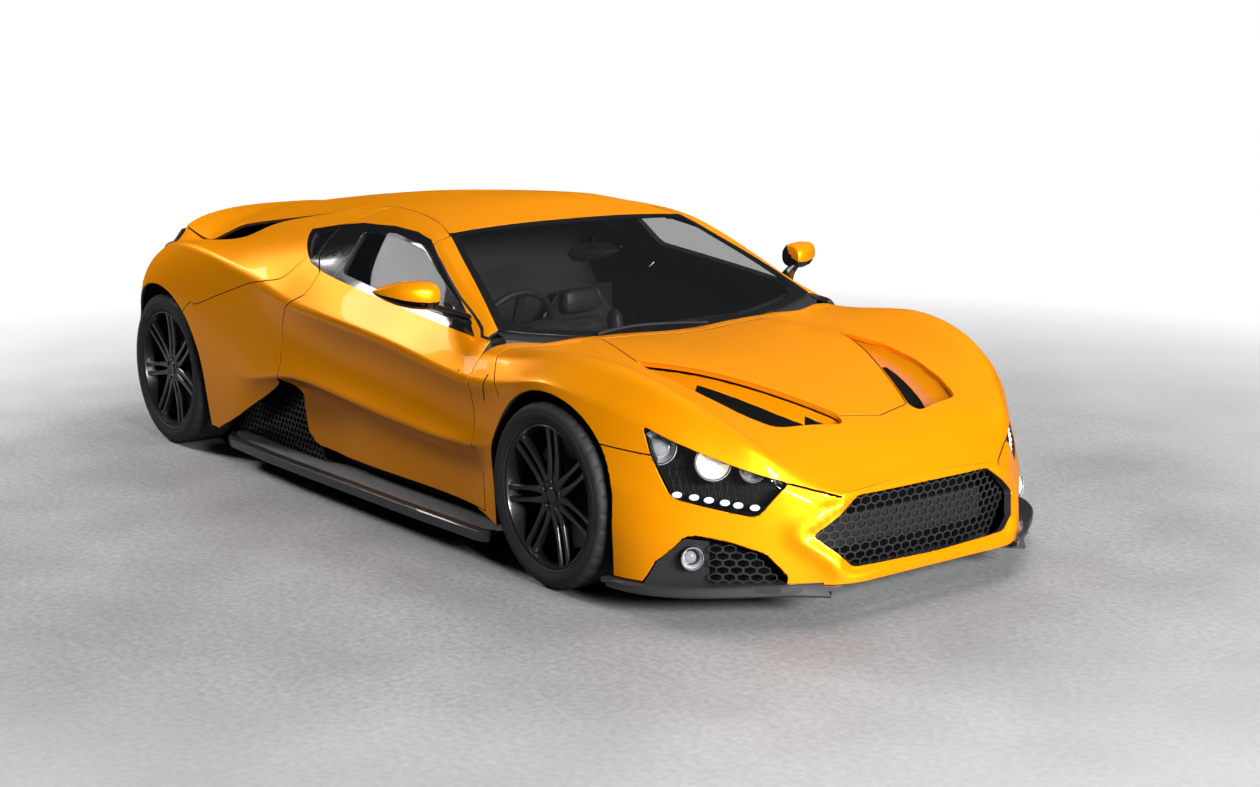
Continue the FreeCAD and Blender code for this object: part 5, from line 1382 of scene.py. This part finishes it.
# Side blades: a flat shelf under the sill with a thin turned-down lip.
def build_skirt(flank):
    rows = []
    inside = .79
    top = .1245
    for x, reach in ((1.02, .955), (.985, .975), (.50, .985), (0, .985), (-.60, .985),
                     (-1.02, .968), (-1.10, .945), (-1.16, .90)):
        section = [(inside, top - .006), (reach - .046, top - .006), (reach - .040, top),
                   (reach - .004, top), (reach, top - .004), (reach, top - .036),
                   (reach - .003, top - .040), (reach - .010, top - .040),
                   (reach - .013, top - .037), (reach - .014, top - .018),
                   (reach - .06, top - .016), (inside, top - .016)]
        rows.append([Vector((x, y, z)) for y, z in section])
    shape = Shape()
    # The shelf's top faces take the lighter grey of painted reflection; the rest is carbon.
    shape.bar(rows, lambda k, i: 1 if i < 2 else 0)
    obj = finished("skirt_blade_" + flank, shape, [finish["carbon"], shelf_painted_reflection], "carbon", flank,
                   degrees=25)
    if flank == "right":
        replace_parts(obj, "skirts")


# Front blades: thick carbon edges under the corners, each cut off at a slant by the chin.
def build_blade(flank):
    rows = []
    line = lines["sill"].at(np.linspace(1.745, 2.262, 16))[:, :2]
    low = .092
    for k, (x, y) in enumerate(line):
        t = k / (len(line) - 1)
        out = Vector((min(.25 + (x - 1.72) * 1.1, .80), .8, 0)).normalized()
        reach = .018 + .012 * math.sin(math.pi * min(t * 1.2, 1))
        high = .124 + .012 * t ** 2
        section = [(-.075, low), (reach - .004, low), (reach, low + .006), (reach, high - .006),
                   (reach - .006, high), (-.075, high)]
        base = Vector((x + .012 * (1 - abs(2 * t - 1)), y, 0))
        rows.append([base + out * a + Vector((0, 0, b)) for a, b in section])
    rows[-1] = [p + Vector((.012 if p.z > .11 else .045, -.03, 0)) for p in rows[-1]]
    shape = Shape()
    shape.bar(rows)
    finished("front_blade_" + flank, shape, [finish["carbon"]], "carbon", flank, degrees=25)


# Door mirrors: a painted cap over a clear strip and a black lower shell on a black arm.
def build_mirror(flank):
    # Sections from the inner end to the tip: reach, place, height, half depth, up, down.
    stations = [(.896, .600, .940, .010, .010, .010), (.898, .600, .940, .052, .044, .042),
                (.912, .599, .941, .060, .051, .050), (.950, .593, .943, .063, .053, .053),
                (.990, .582, .946, .060, .050, .050), (1.030, .562, .950, .051, .041, .042),
                (1.062, .538, .954, .037, .028, .029), (1.086, .512, .957, .018, .012, .014),
                (1.095, .498, .958, .004, .003, .003)]
    count = 36
    rows = [[Vector((x + depth * bent(math.cos(a), .72), reach,
                     z + (up if math.sin(a) > 0 else down) * bent(math.sin(a), .85)))
             for a in angles(count)] for reach, x, z, depth, up, down in stations]

    def shade(k, i):
        angle = 360 * (i + .5) / count
        if 306 < angle < 338 and k > 2:
            return 2
        return 1 if 195 < angle < 338 or k < 2 and 110 < angle < 250 else 0

    shape = Shape()
    shape.bar(rows, shade, (1, 0))
    arm = []
    for t in np.linspace(0, 1, 9):
        wide = .026 + .022 * t ** 2
        high = .009 + .005 * t
        arm.append([Vector((.598 + .075 * t ** 1.5 + wide * bent(math.cos(a), .8), .96 - .155 * t,
                            .912 - .052 * t ** 1.2 + high * math.sin(a))) for a in angles(16)])
    shape.bar(arm, 1, (1, 1))
    obj = finished("mirror_shell_" + flank, shape, [finish["paint"], black_gloss, finish["lamp"]],
                   "paint", flank, "door_" + flank, 50)
    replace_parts(obj, "mirror_" + flank)


# Tail lamps: a ring of red glass round a clear middle, each in a bright edge.
def build_tail_lamp(flank):
    profiles = ([(.046, -.015), (.0005, -.015)],
                [(.0515, -.018), (.0515, -.001), (.049, 0), (.046, -.003)],
                [(.046, -.007), (.042, -.002), (.036, 0), (.030, -.001), (.025, -.006)],
                [(.0245, -.007), (.019, -.003), (.010, -.001), (.0005, -.0005)])
    shape = Shape()
    for kind, profile in enumerate(profiles):
        shape.turned(profile, (-2.3318, .6123, .8146), (-1, 0, 0), 48, kind)
    obj = finished("tail_lamp_" + flank, shape, [lamp_black, chrome, red_glass, lamp_silver],
                   "lamp", flank)
    if flank == "right":
        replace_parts(obj, "tail_lamps")


for flank in flanks:
    build_skirt(flank)
    build_blade(flank)
for flank in flanks:
    build_mirror(flank)
for flank in flanks:
    build_tail_lamp(flank)


# Cabin: padded seats and their shells, air vents, dial hood, mirror, wiper and lining.
seat_middle = .385
pad_segments = 40
pad_voxel = .011
pad_pressure = 4.0
swell_frames = 18
seam_width_on_pad = .0065
seam_depth = .008


def pad_mesh(name, stations):
    """A closed cushion through rounded sections: place, half sizes, squareness, section's axes."""
    shape = Shape()
    shape.bar([[Vector(centre) + Vector((0, 1, 0)) * (half_a * bent(math.cos(a), power))
                + Vector(rise) * (half_b * bent(math.sin(a), power)) for a in angles(pad_segments)]
               for centre, rise, half_a, half_b, power in stations])
    return shape.mesh(name)


def modified(obj):
    """The object's mesh with its modifiers worked in."""
    graph = bpy.context.evaluated_depsgraph_get()
    return bpy.data.meshes.new_from_object(obj.evaluated_get(graph))


def puffed(mesh, name, cap):
    """Remeshes a pad and swells it as stuffed cloth; no point moves further than cap."""
    obj = linked(name + "_work", mesh)
    even = obj.modifiers.new("even", "REMESH")
    even.mode = "VOXEL"
    even.voxel_size = pad_voxel
    bpy.context.view_layer.update()
    even_mesh = modified(obj)
    obj.modifiers.clear()
    obj.data = even_mesh
    rest = [vert.co.copy() for vert in even_mesh.vertices]
    cloth = obj.modifiers.new("swell", "CLOTH")
    cloth.settings.use_pressure = True
    cloth.settings.uniform_pressure_force = pad_pressure
    cloth.settings.effector_weights.gravity = 0
    for frame_number in range(1, swell_frames + 1):
        bpy.context.scene.frame_set(frame_number)
    swollen = modified(obj)
    obj.modifiers.clear()
    for vert, start in zip(swollen.vertices, rest):
        move = vert.co - start
        if move.length > cap:
            vert.co = start + move * (cap / move.length)
    obj.data = swollen
    bpy.context.scene.frame_set(1)
    result = obj.data
    bpy.data.objects.remove(obj)
    return result


def channelled(mesh, seams, axis, inside):
    """Presses sewn channels into a pad's face along one axis."""
    for vert in mesh.vertices:
        if inside(vert.co):
            away = min(abs(vert.co[axis] - seam) for seam in seams)
            press = math.exp(-(away / seam_width_on_pad) ** 2)
            vert.co -= vert.normal * seam_depth * press


def place_pad(mesh, name, flank):
    mesh = mesh.copy()
    if flank == "right":
        for vert in mesh.vertices:
            vert.co.y = -vert.co.y
        mesh.flip_normals()
    mesh.shade_smooth()
    obj = make_object(name, mesh, "car", "leather", finish["leather"])
    smooth = obj.modifiers.new("smooth", "SUBSURF")
    smooth.levels = 1
    smooth.render_levels = 1
    return obj


def flat_rows(table, shift, power):
    """Sections of a pad that lies along the car: place, half width, half height, height."""
    return [((x, seat_middle + shift, z), (0, 0, 1), half, high, power)
            for x, half, high, z in table]


def upright_rows(table, shift, power):
    """Sections of a pad that stands: height, half width, half depth, place."""
    return [((x, seat_middle + shift, z), (1, 0, 0), half, deep, power)
            for z, half, deep, x in table]


cushion_table = ((-.165, .13, .030, .195), (-.15, .150, .048, .195), (-.05, .158, .052, .195),
                 (.10, .160, .052, .197), (.24, .160, .050, .203), (.305, .152, .040, .206),
                 (.322, .13, .020, .204))
bolster_table = ((-.16, .018, .030, .20), (-.14, .030, .052, .198), (0, .034, .058, .198),
                 (.16, .034, .057, .198), (.28, .030, .050, .198), (.318, .016, .026, .196))
back_table = ((.275, .12, .020, -.222), (.30, .150, .034, -.222), (.40, .158, .038, -.222),
              (.52, .156, .038, -.224), (.60, .148, .036, -.226), (.64, .128, .020, -.228))
wing_table = ((.28, .016, .024, -.222), (.30, .030, .044, -.220), (.42, .035, .050, -.222),
              (.54, .034, .048, -.226), (.62, .028, .036, -.228), (.65, .014, .018, -.230))
head_table = ((.655, .075, .016, -.230), (.668, .095, .030, -.230), (.71, .100, .034, -.230),
              (.75, .092, .028, -.232), (.765, .07, .012, -.232))
pads = {}
for label, rows, cap in (("cushion", flat_rows(cushion_table, 0, .55), .010),
                         ("bolster_in", flat_rows(bolster_table, -.197, .7), .006),
                         ("bolster_out", flat_rows(bolster_table, .197, .7), .006),
                         ("back", upright_rows(back_table, 0, .55), .010),
                         ("wing_in", upright_rows(wing_table, -.194, .7), .006),
                         ("wing_out", upright_rows(wing_table, .194, .7), .006),
                         ("head", upright_rows(head_table, 0, .6), .006)):
    pads[label] = puffed(pad_mesh(label, rows), label, cap)
channelled(pads["cushion"], [-.07, .01, .09, .17], 0, lambda co: co.z > .20)
channelled(pads["back"], [.36, .43, .50, .57], 2, lambda co: co.x > -.21)
for flank in flanks:
    for label, pad in pads.items():
        obj = place_pad(pad, "seat_%s_%s" % (label, flank), flank)
        if label == "cushion" and flank == "left":
            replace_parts(obj, "seats")


def build_seat_shell(flank):
    """The hard tub that holds the pads: a thin bent shell behind and below them."""
    rows = []
    for x, z, half in ((.318, .142, .225), (.10, .136, .232), (-.12, .136, .232),
                       (-.20, .150, .232), (-.262, .20, .230), (-.272, .34, .230),
                       (-.274, .52, .228), (-.276, .64, .205), (-.278, .70, .15),
                       (-.279, .755, .11)):
        row = []
        for t in np.linspace(-1, 1, 13):
            curl = .030 * abs(t) ** 4
            row.append(Vector((x + (curl if z > .25 else 0), seat_middle + half * t,
                               z + (curl if z <= .25 else 0))))
        rows.append(row)
    shape = Shape()
    shape.rows(rows, closed=False)
    walled(finished("seat_shell_" + flank, shape, [finish["carbon"]], "carbon", flank, degrees=60),
           .004)


def dash_vent(name, cx, cy, cz, width, height):
    """A rimmed air vent with slats, facing the cabin."""
    shape = Shape()
    shape.rows([[Vector((cx + reach, cy + width * scale * bent(math.cos(a), .6),
                         cz + height * scale * bent(math.sin(a), .6))) for a in angles(24)]
                for scale, reach in ((1.0, 0), (1.0, -.006), (.86, -.008), (.86, .012))])
    # The back face is near-black, painted shade inside the vent.
    shape.face(range(72, 96), 1)
    for share in (-.5, 0, .5):
        z = cz + height * share
        shape.rows([[Vector((cx + a, y, z + b)) for a, b in ((-.004, -.0015), (-.004, .0015),
                                                             (.006, .004), (.006, .001))]
                    for y in (cy - width * .80, cy + width * .80)])
    finished(name, shape, [lamp_black, painted_shade_black], "black_plastic")


def build_hood():
    """The arched hood over the dials in front of the driver."""
    shape = Shape()
    shape.rows([[Vector((x, -seat_middle + half * math.cos(a), .732 + rise * math.sin(a) ** .8))
                 for a in angles(40)[:20] + [math.pi]]
                for x, half, rise in ((.560, .150, .052), (.575, .156, .060), (.66, .150, .050),
                                      (.74, .120, .020), (.77, .09, .004))], closed=False)
    walled(finished("dial_hood", shape, [finish["leather"]], "leather", degrees=60), .006)


def build_mirror_inside():
    """A soft-edged mirror on a short stem under the top of the screen."""
    rows = []
    for y in np.linspace(-.125, .125, 13):
        t = abs(y) / .125
        high = .034 * (1 - t ** 4) ** .5 + .002
        rows.append([Vector((.375 + .013 * math.cos(a) + .02 * t ** 2, y, 1.012 + high * math.sin(a)))
                     for a in angles(16)])
    shape = Shape()
    shape.bar(rows)
    shape.bar([[Vector((.385 + .012 * t + .008 * math.cos(a), .008 * math.sin(a), 1.03 + .045 * t))
                for a in angles(12)] for t in np.linspace(0, 1, 4)])
    finished("inner_mirror", shape, [black_gloss], "black_plastic", degrees=50)


def build_wiper():
    """One arm with its blade, parked along the lower edge of the screen."""
    arm = []
    for t in np.linspace(0, 1, 12):
        y = .10 - .52 * t
        x = 1.000 - .012 * t - .02 * math.sin(math.pi * t)
        z = skin_height(max(x, .96), abs(y)) + .016 + .012 * math.sin(math.pi * t)
        wide = .009 - .004 * t
        arm.append([Vector((x + wide * math.cos(a), y, z + .005 * math.sin(a)))
                    for a in angles(10)])
    shape = Shape()
    shape.bar(arm)
    finished("wiper", shape, [finish["black_plastic"]], "black_plastic", degrees=50)


def build_lining():
    """The padded wall behind the seats, up to the roof."""
    shape = Shape()
    shape.rows([[Vector((x - .02 * abs(t) ** 3, half * t, z - .03 * abs(t) ** 4))
                 for t in np.linspace(-1, 1, 17)]
                for x, z, half in ((-.33, .62, .60), (-.37, .78, .60), (-.42, .92, .57),
                                   (-.46, 1.03, .54), (-.48, 1.10, .46))], closed=False)
    walled(finished("rear_lining", shape, [finish["leather"]], "leather", degrees=60), .010)


build_lining()
for flank in flanks:
    build_seat_shell(flank)
for k, y in enumerate((-.62, -.10, .10, .62)):
    dash_vent("dash_vent_%d" % k, .580, y, .665, .045, .026)
build_hood()
build_mirror_inside()
build_wiper()


# Stage: a pale floor, a white surround, broad soft light and the photograph's camera.
floor_radii = (40, 12, 6, 3.5)


def make_stage():
    count = 96
    shape = Shape()
    shape.rows([[(radius * math.cos(a), radius * math.sin(a), 0) for a in angles(count)]
                for radius in floor_radii])
    shape.face(range((len(floor_radii) - 1) * count, len(floor_radii) * count))
    mesh = shape.mesh("floor")
    floor = linked("floor", mesh)
    mat, tree, bsdf = new_finish("floor", (.45, .45, .455), .6)
    length = add_node(tree, "VectorMath", {0: coordinates(tree)}, operation="LENGTH")
    away = ramp(tree, length.outputs["Value"], 0, 1, 2.6, 6.0)
    seen = add_node(tree, "LightPath").outputs["Is Camera Ray"]
    broad = mixed(tree, noise(tree, 1.7, 12), (.20, .20, .205), (.40, .40, .405))
    speck = mixed(tree, noise(tree, 42, 5), (.45, .45, .45), (1.22, 1.22, 1.22))
    crack = ramp(tree, cells(tree, .3, "DISTANCE_TO_EDGE"), 0, 1, .0, .0022)
    lined = mixed(tree, crack, (.26, .26, .262), mixed(tree, 1, broad, speck, "MULTIPLY"))
    feed(tree, bsdf, {"Base Color": mixed(tree, seen, (.10, .10, .102), lined)})
    white = add_node(tree, "Emission", {"Strength": 1.0})
    far = add_node(tree, "Math", {0: away, 1: seen}, operation="MULTIPLY")
    mix = add_node(tree, "MixShader", {0: far.outputs[0], 1: bsdf.outputs[0],
                                       2: white.outputs[0]})
    feed(tree, tree.nodes["Material Output"], {"Surface": mix.outputs[0]})
    mesh.materials.append(mat)


def make_world():
    """White to the camera, and a dim light from above for everything else."""
    world = bpy.data.worlds.new("studio")
    bpy.context.scene.world = world
    world.use_nodes = True
    tree = world.node_tree
    dim = tree.nodes["Background"]
    place = add_node(tree, "TexCoord").outputs["Generated"]
    parts = add_node(tree, "SeparateXYZ", {0: place})
    feed(tree, dim, {"Strength": ramp(tree, parts.outputs["Z"], .03, .30, .05, .75)})
    white = add_node(tree, "Background", {"Color": (1, 1, 1, 1), "Strength": 1.0})
    path = add_node(tree, "LightPath")
    either = add_node(tree, "Math", {0: path.outputs["Is Camera Ray"],
                                     1: path.outputs["Is Transmission Ray"]}, operation="MAXIMUM")
    mix = add_node(tree, "MixShader", {0: either.outputs[0], 1: dim.outputs[0],
                                       2: white.outputs[0]})
    feed(tree, tree.nodes["World Output"], {"Surface": mix.outputs[0]})


def soft_box(name, place, target, size_x, size_y, power, use="both"):
    """An area light that is mirrored, lights plainly, or does both."""
    data = bpy.data.lights.new(name, "AREA")
    data.shape = "RECTANGLE"
    data.size = size_x
    data.size_y = size_y
    data.energy = power
    obj = linked(name, data)
    obj.location = place
    obj.visible_glossy = use != "plain"
    obj.visible_diffuse = use != "sheen"
    aim = Vector(target) - Vector(place)
    obj.rotation_euler = aim.to_track_quat("-Z", "Y").to_euler()


def make_camera():
    """The camera worked out from the photograph: place, direction, roll and lens."""
    place = (6.7055, -4.65, 1.952)
    yaw, pitch, roll = [math.radians(degrees) for degrees in (142.55, -11.05, .41)]
    forward = Vector((math.cos(pitch) * math.cos(yaw), math.cos(pitch) * math.sin(yaw),
                      math.sin(pitch)))
    right = forward.cross(Vector((0, 0, 1))).normalized()
    down = forward.cross(right)
    turned_right = right * math.cos(roll) + down * math.sin(roll)
    turned_down = down * math.cos(roll) - right * math.sin(roll)
    matrix = Matrix.Identity(4)
    for i in range(3):
        matrix[i][0] = turned_right[i]
        matrix[i][1] = -turned_down[i]
        matrix[i][2] = -forward[i]
        matrix[i][3] = place[i]
    data = bpy.data.cameras.new("camera")
    data.sensor_width = 36
    data.sensor_fit = "HORIZONTAL"
    data.lens = 55.01
    data.clip_end = 200
    obj = linked("camera", data)
    obj.matrix_world = matrix
    bpy.context.scene.camera = obj


make_stage()
make_world()
soft_box("overhead", (.2, 2.1, 4.6), (.2, .3, .4), 6.4, 2.4, 350, "plain")
soft_box("front", (12.5, -1.2, 4.2), (0, 0, .5), 5.0, 2.4, 3400)
soft_box("far_side", (-2.5, 6.5, 3.6), (-.6, 0, .5), 5.0, 1.5, 120, "plain")
soft_box("side_sheen", (-5.3, -3.2, 5.1), (0, -.7, .95), 2.6, 1.6, 130, "sheen")
soft_box("rear_near", (-6.8, -2.8, 3.4), (-1.7, -.9, .8), 1.6, 1.2, 800, "plain")
make_camera()
bpy.context.scene.view_settings.view_transform = "Standard"
